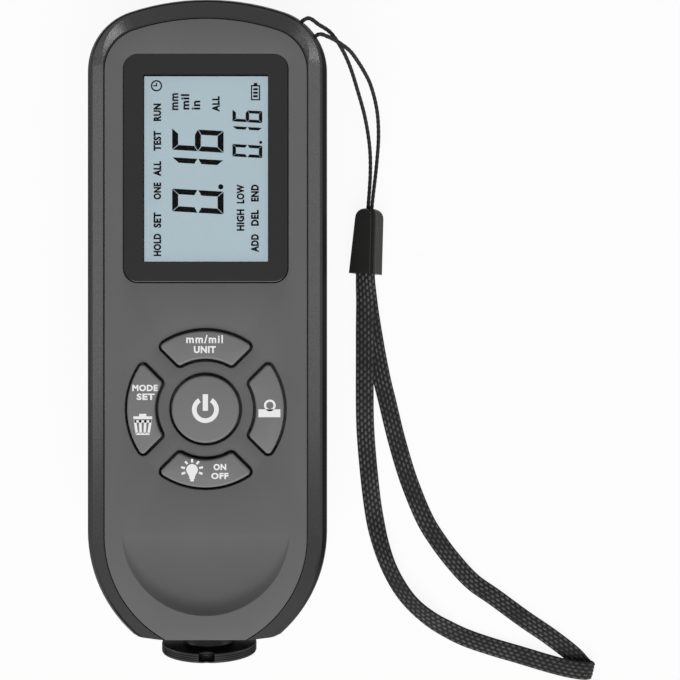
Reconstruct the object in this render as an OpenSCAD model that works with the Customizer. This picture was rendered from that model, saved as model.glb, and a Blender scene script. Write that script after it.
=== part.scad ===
// Handheld coating thickness gauge with a spring probe and a wrist strap
// It lies on its back: +Z out of the face, +Y to the strap end, probe towards -Y

/* [Case] */
// case width
body_w = 49.2; // [48.4:0.2:52]
// case length without the probe
body_l = 129.9; // [129:0.1:136]
// case thickness
body_h = 26; // [25.8:0.2:29]
// radius of the arched strap end
arch_r = 50.2; // [46:0.2:60]
// radius of the upper corners
corner_r = 12.8; // [12:0.2:14]
// radius of the tapered sides at the probe end
taper_r = 28.1; // [27.5:0.1:32]
// length of the tapered probe end
taper_l = 20.8; // [18:0.2:21.4]
// wall thickness
wall = 2.2; // [2:0.1:2.4]
// width of the steep outer band of the rim
band_w = 1.3; // [1:0.1:1.6]
// height of the steep outer band
band_h = 3.3; // [3:0.1:4]
// width of the bevel beside the face
bevel_w = 2.75; // [2.4:0.05:3]
// depth of the bevel
bevel_h = 2.2; // [2:0.1:2.6]
// rounding of the back edge
back_in = 1.8; // [1.2:0.1:2]

/* [Face] */
// thickness of the face panel
panel_t = 1.5; // [1.3:0.1:1.7]
// seam around the face panel
seam = 0.3; // [0.2:0.05:0.4]
// extra width of the bevel at the strap end
brow = 1.2; // [0:0.1:1.4]
// distance of the display window from the case side
window_side = 8.1; // [7.8:0.1:9]
// distance of the display window from the strap end
window_end = 12.55; // [12.2:0.05:14]
// distance between the display window and the ring keys
window_gap = 9.1; // [8.8:0.1:11]
// corner radius of the display window
window_r = 2.9; // [2:0.1:3.5]
// margin of the panel beside the thumb dish
dish_margin = 3.3; // [2.8:0.1:5]
// distance of the thumb dish from the probe end
dish_end = 4.85; // [4.4:0.05:5]
// deepest point of the thumb dish
dish_depth = 1.5; // [1:0.1:1.6]
// width of the curved wall of the thumb dish
dish_curve = 6; // [4:0.1:8]

/* [Keys] */
// distance of the key group from the probe end of the case
key_off = 46.25; // [46:0.05:47.5]
// radius of the round key's opening
power_r = 7.3; // [6.8:0.1:7.4]
// inner radius of the ring keys' openings
ring_in = 9.5; // [9.4:0.1:10]
// margin of the panel beside the ring keys
key_margin = 3.9; // [3.6:0.1:4.6]
// width of the spokes between the ring keys
spoke_w = 3.6; // [3.2:0.1:4]
// corner radius of the ring keys
key_corner = 1.3; // [0.8:0.1:1.4]
// gap around each key
key_gap = 0.45; // [0.3:0.05:0.5]
// height of the keys above the face
key_rise = 0.9; // [0.8:0.1:1.4]
// travel of the keys
key_travel = 0.6; // [0.4:0.1:0.7]

/* [Probe] */
// reach of the probe beyond the case
probe_out = 5.6; // [5.4:0.1:7]
// radius of the probe neck
neck_r = 5.2; // [5:0.1:5.3]
// radius of the probe flange
flange_r = 10; // [9:0.1:10.4]
// thickness of the probe flange
flange_t = 2; // [1.6:0.1:2.4]
// width of the grooves in the flange rim
groove_w = 3.2; // [2.4:0.1:4]
// depth of the grooves in the flange rim
groove_d = 1.3; // [1:0.1:2]
// travel of the probe
probe_travel = 3; // [2:0.1:3]
// running clearance of the probe in its barrel
run_fit = 0.05; // [0.03:0.01:0.08]

/* [Battery] */
// length of a cell
cell_l = 44.5; // [44:0.1:44.6]
// distance of the battery bay from the strap end
bay_end = 11.75; // [11.4:0.05:13]
// gap between the battery bay and the board
board_gap = 1.6; // [1.5:0.1:2]
// sliding clearance of the battery cover
slide_fit = 0.15; // [0.1:0.05:0.2]

/* [Strap] */
// diameter of the lanyard cord
cord_d = 0.9; // [0.8:0.1:1]
// diameter of the lanyard holes
hole_d = 1.9; // [1.6:0.1:2]
// width of the braid
braid_w = 4; // [3.8:0.1:4.4]
// thickness of the braid
braid_t = 1.25; // [1.1:0.05:1.3]
// length of the lock
lock_l = 14.4; // [13:0.2:16]
// width of the lock at its mouth
lock_w = 6.6; // [6.4:0.1:7.2]
// thickness of the lock
lock_t = 3.8; // [3.6:0.1:4.2]

/* [Hidden] */
$fn = 64;

// outline of the case
half_w = body_w / 2;
y_top = (body_l + probe_out) / 2;
y_end = y_top - body_l;
arch_y = y_top - arch_r;
corner_x = half_w - corner_r;
corner_y = round(10000 * (arch_y + sqrt(pow(arch_r - corner_r, 2) - pow(corner_x, 2)))) / 10000;
arch_dir = [corner_x, corner_y - arch_y] / norm([corner_x, corner_y - arch_y]);
arch_far = [corner_x, corner_y] + 2 * corner_r * arch_dir;
taper_x = half_w - taper_r;
taper_y = y_end + taper_l;

// heights
part_z = body_h / 2;
bevel_z = body_h - bevel_h;
band_z = bevel_z - band_h;
land = 0.15;
rim = band_w + bevel_w + land;
panel_z = body_h - panel_t;
floor_t = 1.8;
floor_z = panel_z - floor_t;
back_t = 2;
board_t = 1.6;
stack_t = 0.24 * body_h;
board_z = floor_z - stack_t;
board_top = board_z + board_t;

// rounded changes of slope as height and inset, up the front half and up the back half
band_s = band_w / band_h;
bevel_s = bevel_w / bevel_h;
front_steps = [[part_z, 0], [band_z - 0.6, 0], [band_z + 0.6, 0.6 * band_s],
  [bevel_z - 0.4, band_w - 0.4 * band_s], [bevel_z + 0.3, band_w + 0.3 * bevel_s],
  [body_h, band_w + bevel_w]];
back_steps = [[0, back_in], [0.4, 0.6 * back_in], [1.2, 0.22 * back_in], [2.6, 0]];

// key and dish sizes left by the panel
panel_half = half_w - rim - seam;
ring_out = panel_half - key_margin;
key_y = y_end + key_off;
dish_r = panel_half - dish_margin;
dish_y = y_end + dish_end + dish_r;

// display
window_w = body_w - 2 * window_side;
window_l = y_top - window_end - key_y - ring_out - window_gap;
window_y = y_top - window_end - window_l / 2;
window_t = panel_t - 0.1;
window_fit = 0.1;
glass_w = window_w - 2.6;
glass_l = window_l - 2.8;
glass_t = 0.32 * stack_t;
glass_z = panel_z - 0.1 - glass_t;
glass_gap = 0.3;
light_w = glass_w - 2.4;
light_l = glass_l - 3;
light_t = 0.35 * stack_t;
light_z = glass_z - 0.05 - light_t;
holder_w = glass_w + 3.6;
holder_l = glass_l + 4;

// keys
key_top = body_h + key_rise;
flange_grow = 0.7;
key_flange_t = 0.9;
key_flange_z = floor_z - 0.1 - key_flange_t;
mat_t = 1;
mat_r = ring_out + 1.4;
dome_top = key_flange_z - 0.8;
stem_r = 1.6;
ring_mid = (ring_in + ring_out) / 2;

// thumb dish
dish_wall = 1;
boss_t = 1.5;

// board and its fixings
board_side = 9.6;
board_w = body_w - 2 * board_side;
board_y0 = key_y - ring_out - 3.2;
board_y1 = window_y + window_l / 2 - 1;
post_r = 2.2;
board_x = board_w / 2 - 2.7;
board_pts = [[board_x, key_y + ring_out + 3.2], [board_x, key_y - ring_out - 0.7]];
screw_r = 1;
screw_l = stack_t - 1.24;
head_r = 1.9;
head_t = 1.4;
chip_w = 10;
case_post_r = 2.8;
case_pts = [[half_w - 4.6, y_top - window_end - 9.5], [half_w - 4.8, key_y - 14.4]];
case_head_z = 4;

// battery bay
bay_gap = 0.3;
cover_t = 2.6;
cell_rest = 0.45;
roof_t = 1;
cell_d = board_z - board_gap - roof_t - bay_gap - cell_rest - cover_t;
bay_w = 2 * cell_d + 3 * bay_gap;
contact_gap = 2;
bay_l = cell_l + 2 * contact_gap;
bay_y1 = y_top - bay_end;
bay_y0 = bay_y1 - bay_l;
bay_wall = 1.2;
ledge_t = 1.5;
lip = 0.8;
cover_w = bay_w + 1.2;
cover_y0 = bay_y0 - 3.5;
cell_z = cover_t + cell_rest + cell_d / 2;
bay_top = cell_z + cell_d / 2 + bay_gap;
contact_w = cell_d - 2.5;
contact_t = 0.5;
pip_r = 1.9;

// probe
probe_z = part_z;
probe_y = y_end - probe_out;
plunger_l = 18.5;
tail_y = probe_y + plunger_l;
core_r = 2.5;
core_l = 15;
coil_r = 4.1;
coil_l = 10.4;
tip_t = 3;
barrel_r = 7.6;
barrel_bore = 6.3;
barrel_end = board_y0 - 1.7;
lip_l = 3;
barrel_flange_r = 9.2;
barrel_flange_t = 1.5;
clip_y = y_end + lip_l + 0.3;
clip_t = 0.9;
clip_groove = 4.7;
cap_l = 2.2;
lead_d = 1.4;

// strap anchor at the upper right corner
cord_z = band_z + 0.8;
hole_a = [53.3, 34.3];
lock_roll = 33;
lock_turn = -4;
lock_r = 1.6;
lock_z = lock_w / 2 * sin(lock_roll) + lock_t / 2 * cos(lock_roll);
lock_at = [corner_x + 22.1, corner_y - 40.55];

function unit(v) = v / norm(v);
function along(p, i) = unit(p[min(i + 1, len(p) - 1)] - p[max(i - 1, 0)]);
function polar(r, a) = [corner_x + r * cos(a), corner_y + r * sin(a)];
function at_z(p, z) = [p[0], p[1], z];
function spun(v, a) = [v[0] * cos(a) - v[1] * sin(a), v[0] * sin(a) + v[1] * cos(a)];
function turned(v) = [each spun(v, lock_turn), v[2]];
function rolled(v) = let (q = spun([v[0], v[2]], lock_roll)) [q[0], v[1], q[1]];
function lock_pt(v) = [lock_at[0], lock_at[1], lock_z] + turned(rolled(v));
function drop(q) = [corner_x + q[0], corner_y + q[1], lock_z + q[2] * (cord_z - lock_z)];

// cord strands as offsets from the corner centre, with the share of the height left
strand_a = [[11.1, 9.5, 0.96], [13.2, 8.6, 0.88], [14.6, 7.5, 0.8], [16.6, 5.3, 0.64], [18.1, 2.9, 0.5],
  [19.8, -0.9, 0.32], [21.8, -6.6, 0.15], [23, -12.9, 0.04], [23.2, -18.2, 0]];
strand_b = [[12.9, 6.9, 0.99], [14.3, 6.4, 0.96], [15.6, 5.8, 0.92], [17.6, 4.7, 0.84], [19.3, 3.3, 0.71],
  [20.8, 1.8, 0.58], [22.5, -0.4, 0.42], [24.3, -5.1, 0.2], [24.9, -10.2, 0.06], [24.6, -16.2, 0]];
cord_r = corner_r - wall - 0.8;
cord_path = concat(
  [lock_pt([-0.47, lock_l - 3, 0]), lock_pt([-0.47, lock_l + 0.6, 0])],
  [for (i = [len(strand_a) - 1:-1:0]) drop(strand_a[i])],
  [at_z(polar(corner_r + 1, hole_a[0] - 3), cord_z), at_z(polar(corner_r - wall, hole_a[0]), cord_z),
   at_z(polar(cord_r, hole_a[0] - 5), cord_z), at_z(polar(cord_r, (hole_a[0] + hole_a[1]) / 2), cord_z),
   at_z(polar(cord_r, hole_a[1] + 5), cord_z), at_z(polar(corner_r - wall, hole_a[1]), cord_z),
   at_z(polar(corner_r + 0.6, hole_a[1] - 1), cord_z)],
  [for (q = strand_b) drop(q)],
  [lock_pt([0.47, lock_l + 0.6, 0]), lock_pt([0.47, lock_l - 3, 0])]);

// braid route from the lock's mouth: offset from the lock, layer height in braid thicknesses, roll
braid_out = [[0, -6, 2, 14], [0, -13, 1.58, 0], [0, -20, 1.56, 0], [0, -26, 1.4, 0], [0.2, -34, 0.7, 0],
  [1, -44, 0.52, 0], [2.1, -53, 0.54, 0], [3.3, -59, 1.05, 20], [5.3, -65, 1.26, 30], [8, -70, 1.26, 30],
  [10.8, -73.5, 1.26, 30], [14.6, -76.7, 1.05, 20], [18, -78.8, 0.75, 8], [22.4, -81, 0.54, 0],
  [28.2, -83, 0.6, 0], [34.6, -84.8, 0.9, 0], [41.2, -86.6, 1.5, 0], [46, -87.7, 1.75, 0]];
braid_fold = [[49.3, -88, 2], [50.4, -88.1, 1.3], [49.3, -87.6, 0.55]];
braid_back = [[46.8, -85, 0.52, 0], [41.7, -81, 0.52, 0], [35.7, -76.9, 0.52, 0], [29, -72, 0.52, 0],
  [24.2, -68.6, 0.52, 0], [19.9, -64, 0.52, 0], [16.5, -59.5, 0.52, 0], [13.7, -55, 0.52, 0],
  [10, -46.1, 0.52, 0], [7.3, -37.2, 0.52, 0], [5.1, -28.2, 0.52, 0], [4, -23.7, 0.52, 0],
  [2.3, -14.8, 0.52, 0], [0.9, -6, 0.94, 14]];
fold_a = 77;
function laid(q) = [lock_at[0] + q[0], lock_at[1] + q[1], q[2] * braid_t];
function side_of(t, s) = unit([-t[1] * s, t[0] * s, 0]);
function tilted(v, roll) = v * cos(roll) + [0, 0, sin(roll)];
braid_path = concat([lock_pt([0, 5, 0.55 * braid_t]), lock_pt([0, 0, 0.55 * braid_t])],
  [for (q = braid_out) laid(q)], [for (q = braid_fold) laid(q)], [for (q = braid_back) laid(q)],
  [lock_pt([0, 0, -0.55 * braid_t]), lock_pt([0, 5, -0.55 * braid_t])]);
mouth_side = turned(rolled([1, 0, 0]));
n_out = len(braid_out);
n_fold = len(braid_fold);
n_path = len(braid_path);
braid_side = [for (i = [0:n_path - 1])
  i < 2 || i > n_path - 3 ? mouth_side :
  i < n_out + 2 ? tilted(side_of(along(braid_path, i), 1), braid_out[i - 2][3]) :
  i < n_out + n_fold + 2 ? [cos(fold_a), sin(fold_a), 0] :
  tilted(side_of(along(braid_path, i), -1), braid_back[i - n_out - n_fold - 2][3])];

function disc(r, n) = [for (k = [0:n - 1]) [r * cos(360 * k / n), r * sin(360 * k / n)]];
function flat(w, t) = [[w / 2, -t / 5], [w / 2, t / 5], [w / 2 - 0.35, t / 2], [0.35 - w / 2, t / 2],
  [-w / 2, t / 5], [-w / 2, -t / 5], [0.35 - w / 2, -t / 2], [w / 2 - 0.35, -t / 2]];
function level(p) = [for (i = [0:len(p) - 1]) unit(cross(along(p, i), [0, 0, 1]))];

// profile carried along a path, with the direction of the profile's first axis at each point
module sweep(p, s, prof) {
  n = len(prof);
  m = len(p);
  pts = [for (i = [0:m - 1])
    let (t = along(p, i), a = unit(s[i] - (s[i] * t) * t), b = cross(a, t))
    for (q = prof) p[i] + q[0] * a + q[1] * b];
  skin = [for (i = [0:m - 2]) for (k = [0:n - 1])
    let (j = (k + 1) % n)
    for (f = [[i * n + k, i * n + j, (i + 1) * n + j], [i * n + k, (i + 1) * n + j, (i + 1) * n + k]]) f];
  start = [for (k = [1:n - 2]) [0, k + 1, k]];
  stop = [for (k = [1:n - 2]) [(m - 1) * n, (m - 1) * n + k, (m - 1) * n + k + 1]];
  polyhedron(points = pts, faces = concat(skin, start, stop), convexity = 10);
}

// slice of the case between two heights, inset by d0 below and d1 above, strap end drawn in by b
module slice(z0, z1, d0, d1, e = 0, b = 0) {
  h = z1 - z0;
  translate([0, 0, z0]) {
    translate([0, -b, 0]) {
      intersection() {
        translate([0, arch_y, 0]) cylinder(h = h, r1 = arch_r - d0, r2 = arch_r - d1);
        linear_extrude(h)
          polygon([[-corner_x, corner_y], [corner_x, corner_y], arch_far, [-arch_far[0], arch_far[1]]]);
      }
      for (s = [0, 1])
        mirror([s, 0, 0]) intersection() {
          translate([corner_x, corner_y, 0]) cylinder(h = h, r1 = corner_r - d0, r2 = corner_r - d1);
          linear_extrude(h) polygon([[corner_x, corner_y], [corner_x + 2 * corner_r, corner_y],
            [corner_x + 2 * corner_r, corner_y + 2 * corner_r], arch_far]);
        }
    }
    for (y = [[corner_y - b, corner_y - b - key_y], [key_y, key_y - taper_y]])
      translate([0, y[0], 0]) rotate([90, 0, 0]) linear_extrude(y[1])
        polygon([[d0 - half_w, 0], [half_w - d0, 0], [half_w - d1, h], [d1 - half_w, h]]);
    intersection() {
      translate([taper_x, taper_y, 0]) cylinder(h = h, r1 = taper_r - d0, r2 = taper_r - d1);
      translate([-taper_x, taper_y, 0]) cylinder(h = h, r1 = taper_r - d0, r2 = taper_r - d1);
      translate([-half_w, y_end + e, 0]) cube([body_w, taper_l - e, h]);
    }
  }
}

// slices one above the other, from a list of height and inset
module stack(steps) {
  for (i = [0:len(steps) - 2])
    slice(steps[i][0], steps[i + 1][0], steps[i][1], steps[i + 1][1]);
}

// wedge off the front that draws the bevel in at the strap end
module brow_cut() {
  z0 = bevel_z + 0.3;
  h = body_h - z0;
  d0 = band_w + 0.3 * bevel_s - brow - 0.15;
  d1 = band_w + bevel_w - 0.15;
  k = (d1 - d0) / h;
  difference() {
    translate([-half_w - 1, corner_y - brow, z0]) cube([body_w + 2, y_top, h + 0.4]);
    slice(z0 - 0.2, body_h + 0.5, d0 - 0.2 * k, d1 + 0.5 * k, 0, brow);
  }
}

module rounded(w, l, r) {
  square([w - 2 * r, l], center = true);
  square([w, l - 2 * r], center = true);
  for (x = [-1, 1])
    for (y = [-1, 1])
      translate([x * (w / 2 - r), y * (l / 2 - r)]) circle(r);
}

module plate(w, l, r, z0, z1, y) {
  translate([0, y, z0]) linear_extrude(z1 - z0) rounded(w, l, r);
}

module along_y(y, h, r) {
  translate([0, y, probe_z]) rotate([-90, 0, 0]) cylinder(h = h, r = r);
}

// ring key outline around the key group's centre, pointing to +Y, grown by g
module ring_key(g) {
  ro = ring_out + g;
  ri = ring_in - g;
  s = spoke_w / 2 - g;
  c = key_corner + g;
  uo = sqrt(pow(ro - c, 2) - pow(s + c, 2));
  ui = sqrt(pow(ri + c, 2) - pow(s + c, 2));
  difference() {
    intersection() {
      difference() {
        circle(ro);
        circle(ri);
      }
      polygon([[0, s * sqrt(2)], [2 * ro, s * sqrt(2) + 2 * ro], [-2 * ro, s * sqrt(2) + 2 * ro]]);
    }
    for (m = [0, 1])
      mirror([m, 0]) rotate(45) {
        difference() {
          polygon([[uo, s + c], [uo, s - 1], [ro * 1.1, s - 1], [uo, s + c] * (1.1 * ro / (ro - c))]);
          translate([uo, s + c]) circle(c + 0.02);
        }
        difference() {
          polygon([[ui, s + c], [ui, s - 1], [ri * 0.5, s - 1], [ui, s + c] * (ri * 0.9 / (ri + c))]);
          translate([ui, s + c]) circle(c + 0.02);
        }
      }
  }
}

module key_holes(z0, z1) {
  translate([0, key_y, z0]) linear_extrude(z1 - z0) circle(power_r);
  for (k = [0:3])
    translate([0, key_y, z0]) rotate(90 * k) linear_extrude(z1 - z0) ring_key(0);
}

module key_body(k) {
  translate([0, key_y, key_flange_z]) rotate(90 * k) linear_extrude(key_flange_t) ring_key(flange_grow);
  translate([0, key_y, key_flange_z]) rotate(90 * k)
    linear_extrude(key_top - key_flange_z) ring_key(-key_gap);
  translate([0, key_y, 0]) rotate(90 * k) translate([0, ring_mid, dome_top + 0.05])
    cylinder(h = key_flange_z - dome_top, r = stem_r);
}

module dish_form(g) {
  intersection() {
    circle(dish_r + g);
    translate([-2 * dish_r, -2 * dish_r]) square([4 * dish_r, 2 * dish_r + g]);
  }
}

// scoop of the thumb dish: a sloping floor that runs into a curved wall
module dish_cut() {
  r0 = dish_r - dish_curve;
  bend = (pow(dish_curve, 2) + pow(dish_depth, 2)) / (2 * dish_depth);
  intersection() {
    translate([0, dish_y, body_h]) rotate_extrude() {
      translate([0, -dish_depth]) square([r0, dish_depth + 1]);
      intersection() {
        translate([r0, bend - dish_depth]) circle(bend);
        translate([r0, -dish_depth]) square([dish_curve, dish_depth]);
      }
      square([dish_r, 1]);
    }
    translate([0, dish_y, body_h]) rotate([atan(dish_depth / dish_r), 0, 0])
      translate([-2 * dish_r, -2 * dish_r, 0]) cube([4 * dish_r, 2 * dish_r, 3 * dish_depth]);
  }
}

module at_points(pts) {
  for (p = pts)
    for (s = [-1, 1])
      translate([s * p[0], p[1], 0]) children();
}

// saddle that holds the barrel behind its flange
module saddle(z0, z1) {
  translate([-10, y_end + wall + 0.1 + barrel_flange_t, z0]) cube([20, 1.5, z1 - z0]);
}

module front_shell() {
  color("dimgray") difference() {
    union() {
      difference() {
        stack(front_steps);
        if (brow > 0)
          brow_cut();
        slice(part_z - 1, floor_z, wall, wall, wall);
        slice(panel_z, body_h + 1, rim, rim, -1, brow);
      }
      at_points(case_pts) translate([0, 0, part_z]) cylinder(h = floor_z - part_z + 0.5, r = case_post_r);
      at_points(board_pts) translate([0, 0, board_top]) cylinder(h = floor_z - board_top + 0.5, r = post_r);
      saddle(part_z, floor_z + 0.5);
    }
    plate(glass_w + 2 * glass_gap, glass_l + 2 * glass_gap, 1, floor_z - 1, panel_z + 1, window_y);
    key_holes(floor_z - 1, panel_z + 1);
    translate([0, dish_y, floor_z - 1]) linear_extrude(floor_t + 2) dish_form(dish_wall + 0.2);
    at_points(case_pts) translate([0, 0, part_z - 1])
      cylinder(h = floor_z - part_z, r = screw_r + 0.03);
    at_points(board_pts) translate([0, 0, board_top - 1])
      cylinder(h = floor_z - board_top, r = screw_r + 0.03);
    along_y(y_end - 1, barrel_end - y_end, barrel_r + run_fit);
    for (a = hole_a)
      translate([corner_x, corner_y, cord_z]) rotate([0, 90, a])
        translate([0, 0, corner_r - wall - 1]) cylinder(h = wall + 3, d = hole_d);
  }
}

module rear_shell() {
  color("dimgray") difference() {
    union() {
      difference() {
        union() {
          stack(back_steps);
          slice(back_steps[3][0], part_z, 0, 0);
        }
        slice(back_t, part_z + 1, wall, wall, wall);
      }
      intersection() {
        translate([-cover_w / 2 - lip - 1.2, cover_y0 - 1.2, 1])
          cube([cover_w + 2 * lip + 2.4, body_l, 3.2]);
        slice(0.5, 5, wall / 2, wall / 2);
      }
      translate([-bay_w / 2 - bay_wall, bay_y0 - bay_wall, 1])
        cube([bay_w + 2 * bay_wall, bay_l + 2 * bay_wall, bay_top + roof_t - 1]);
      at_points(case_pts) translate([0, 0, 1]) cylinder(h = part_z - 1, r = case_post_r);
      saddle(1, part_z);
    }
    translate([-bay_w / 2, bay_y0, -1]) cube([bay_w, bay_l, bay_top + 1]);
    translate([-cover_w / 2 - slide_fit, cover_y0 - slide_fit, -1])
      cube([cover_w + 2 * slide_fit, body_l, ledge_t + 1]);
    translate([-cover_w / 2 - lip - slide_fit, cover_y0 - slide_fit, ledge_t - 0.01])
      cube([cover_w + 2 * lip + 2 * slide_fit, body_l, cover_t + slide_fit - ledge_t]);
    at_points(case_pts) translate([0, 0, -1]) cylinder(h = part_z + 2, r = screw_r + 0.3);
    at_points(case_pts) translate([0, 0, -1]) cylinder(h = case_head_z + 1, r = head_r + 0.3);
    along_y(y_end - 1, barrel_end - y_end, barrel_r + run_fit);
  }
}

module face_panel() {
  color("gray") difference() {
    union() {
      slice(panel_z, body_h, rim + seam, rim + seam, 0, brow);
      translate([0, dish_y, panel_z - boss_t]) linear_extrude(boss_t + 0.5) dish_form(dish_wall);
    }
    plate(window_w + 2 * window_fit, window_l + 2 * window_fit, window_r + window_fit,
      panel_z - 1, body_h + 1, window_y);
    key_holes(panel_z - 1, body_h + 1);
    dish_cut();
  }
}

module display_window() {
  color("black") plate(window_w, window_l, window_r, panel_z, panel_z + window_t, window_y);
}

module lcd_glass() {
  color("lightgray") plate(glass_w, glass_l, 0.7, glass_z, glass_z + glass_t, window_y);
}

module backlight_panel() {
  color("white") plate(light_w, light_l, 1, light_z, light_z + light_t, window_y);
}

module lcd_holder() {
  color("ivory") difference() {
    plate(holder_w, holder_l, 2, board_top, floor_z - 0.1, window_y);
    plate(glass_w + 0.2, glass_l + 0.2, 0.8, glass_z, body_h, window_y);
    plate(light_w + 0.2, light_l + 0.2, 1.1, light_z, body_h, window_y);
    plate(light_w - 4, light_l - 4, 1, board_top - 1, body_h, window_y);
  }
}

module main_board() {
  color("darkgreen") difference() {
    plate(board_w, board_y1 - board_y0, 1.5, board_z, board_top, (board_y0 + board_y1) / 2);
    at_points(board_pts) translate([0, 0, board_z - 1]) cylinder(h = board_t + 2, r = screw_r + 0.2);
  }
}

module chip(x, y, w, l, h) {
  translate([x - w / 2, y - l / 2, board_z - h]) cube([w, l, h]);
}

module board_parts() {
  color("black") {
    chip(-0.3 * chip_w, key_y + 0.2 * chip_w, chip_w, chip_w, head_t);
    chip(0.8 * chip_w, key_y - 0.4 * chip_w, 0.5 * chip_w, 0.6 * chip_w, head_t);
    chip(-0.95 * chip_w, key_y - 0.9 * chip_w, 0.4 * chip_w, 0.5 * chip_w, head_t);
    chip(0, board_y0 + 0.35 * chip_w, 0.6 * chip_w, 0.4 * chip_w, 2 * head_t);
  }
}

module board_screws() {
  color("silver") at_points(board_pts) translate([0, 0, board_z - head_t]) {
    cylinder(h = head_t, r = head_r);
    cylinder(h = head_t + screw_l, r = screw_r);
  }
}

module case_screws() {
  color("silver") at_points(case_pts) translate([0, 0, case_head_z - head_t]) {
    cylinder(h = head_t, r = head_r);
    cylinder(h = floor_z - case_head_z - head_t, r = screw_r);
  }
}

module keypad_mat() {
  color("dimgray") {
    translate([0, key_y, board_top]) cylinder(h = mat_t, r = mat_r);
    for (k = [0:4])
      translate([0, key_y, 0]) rotate(90 * k) translate([0, k == 4 ? 0 : ring_mid, board_top])
        cylinder(h = dome_top - board_top, r1 = 2.8, r2 = 1.9);
  }
}

module power_key() {
  color("gray") translate([0, key_y, 0]) {
    translate([0, 0, key_flange_z]) cylinder(h = key_flange_t, r = power_r + flange_grow);
    translate([0, 0, key_flange_z]) cylinder(h = key_top - key_flange_z, r = power_r - key_gap);
    translate([0, 0, dome_top + 0.05]) cylinder(h = key_flange_z - dome_top, r = stem_r);
  }
}

module unit_key() {
  color("gray") key_body(0);
}

module mode_key() {
  color("gray") key_body(1);
}

module light_key() {
  color("gray") key_body(2);
}

module zero_key() {
  color("gray") key_body(3);
}

module probe_plunger() {
  color("gray") difference() {
    union() {
      along_y(probe_y, flange_t, flange_r);
      along_y(probe_y, tail_y - probe_y, neck_r);
    }
    along_y(probe_y - 1, core_l, core_r + 0.02);
    along_y(probe_y + tip_t, plunger_l, coil_r + 0.1);
    difference() {
      along_y(clip_y, clip_t + 0.1, neck_r + 1);
      along_y(clip_y - 1, clip_t + 3, clip_groove);
    }
    for (s = [-1, 1]) {
      along_y_groove = probe_z + s * (flange_r - groove_d + groove_w / 2);
      translate([0, probe_y - 1, along_y_groove]) rotate([-90, 0, 0])
        cylinder(h = flange_t + 2, r = groove_w / 2);
      translate([-groove_w / 2, probe_y - 1, along_y_groove + min(0, groove_w * s)])
        cube([groove_w, flange_t + 2, groove_w]);
    }
  }
}

module probe_core() {
  color("silver") along_y(probe_y + 0.1, core_l, core_r);
}

module probe_coil() {
  color("orange") difference() {
    along_y(probe_y + tip_t + 0.1, coil_l, coil_r);
    along_y(probe_y, plunger_l, core_r + 0.02);
  }
}

module probe_barrel() {
  color("black") difference() {
    union() {
      along_y(y_end, barrel_end - y_end, barrel_r);
      along_y(y_end + wall + run_fit, barrel_flange_t, barrel_flange_r);
    }
    along_y(y_end - 1, barrel_end - y_end, neck_r + run_fit);
    along_y(y_end + lip_l, barrel_end - y_end, barrel_bore);
  }
}

module barrel_cap() {
  color("black") difference() {
    union() {
      along_y(barrel_end - cap_l, cap_l, barrel_bore - run_fit);
      along_y(barrel_end + 0.02, 1, barrel_r);
      along_y(barrel_end - cap_l, cap_l + 0.1, barrel_bore - run_fit);
    }
    along_y(barrel_end - cap_l - 1, cap_l + 4, lead_d / 2 + 0.3);
  }
}

module probe_spring() {
  r = (coil_r + 0.1 + neck_r) / 2;
  y0 = tail_y + 0.45;
  y1 = barrel_end - cap_l - 0.45;
  n = 72;
  turn = 360 * 6 / n;
  rad = [for (i = [0:n]) [cos(turn * i), 0, sin(turn * i)]];
  path = [for (i = [0:n]) [0, y0 + (y1 - y0) * i / n, probe_z] + r * rad[i]];
  color("silver") sweep(path, rad, disc(0.35, 8));
}

module probe_clip() {
  color("silver") difference() {
    along_y(clip_y + 0.05, clip_t, barrel_bore - 0.2);
    along_y(clip_y - 1, clip_t + 3, clip_groove + 0.03);
    translate([-1.5, clip_y - 1, probe_z - 10]) cube([3, 4, 10]);
  }
}

module probe_lead() {
  y1 = board_y0 + 1.3;
  z1 = board_z - 1.6;
  dy = y1 - 0.6 - barrel_end - 1;
  path = [[0, barrel_end - cap_l, probe_z], [0, barrel_end, probe_z], [0, barrel_end + 1, probe_z + 0.1],
    [0, barrel_end + 1 + dy / 2, (probe_z + z1) / 2], [0, y1 - 0.6, z1], [0, y1, z1]];
  color("black") sweep(path, level(path), disc(lead_d / 2, 8));
}

module battery_cells() {
  color("goldenrod") for (s = [-1, 1])
    translate([s * (cell_d + bay_gap) / 2, (bay_y0 + bay_y1) / 2, cell_z]) rotate([90 * s, 0, 0]) {
      translate([0, 0, -cell_l / 2]) cylinder(h = cell_l - 0.8, d = cell_d);
      translate([0, 0, -cell_l / 2]) cylinder(h = cell_l, r = pip_r);
    }
}

module battery_contacts() {
  color("silver") {
    for (s = [-1, 1]) {
      translate([(s * (cell_d + bay_gap) - contact_w) / 2, bay_y1 - contact_t - 0.05, 0])
        translate([0, 0, cell_z - contact_w / 2]) cube([contact_w, contact_t, contact_w]);
      translate([s * (cell_d + bay_gap) / 2, bay_y1 - 0.4, cell_z]) rotate([90, 0, 0])
        cylinder(h = contact_gap - 0.45, r = pip_r + contact_t);
      translate([s * (cell_d + bay_gap) / 2, bay_y0 + 0.4, cell_z]) rotate([-90, 0, 0])
        cylinder(h = contact_gap - 0.45, r = pip_r + contact_t);
    }
    translate([-cell_d + 1, bay_y0 + 0.05, cell_z - contact_w / 2])
      cube([2 * cell_d - 2, contact_t, contact_w]);
  }
}

module battery_cover() {
  color("dimgray") difference() {
    intersection() {
      stack(back_steps);
      union() {
        translate([-cover_w / 2, cover_y0, 0]) cube([cover_w, body_l, cover_t]);
        translate([-cover_w / 2 - lip, cover_y0, ledge_t + 0.1])
          cube([cover_w + 2 * lip, body_l, cover_t - ledge_t - 0.1]);
      }
    }
    for (k = [0:4])
      translate([-6, cover_y0 + 5 + 2 * k, -0.5]) cube([12, 1, 1]);
  }
}

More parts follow.
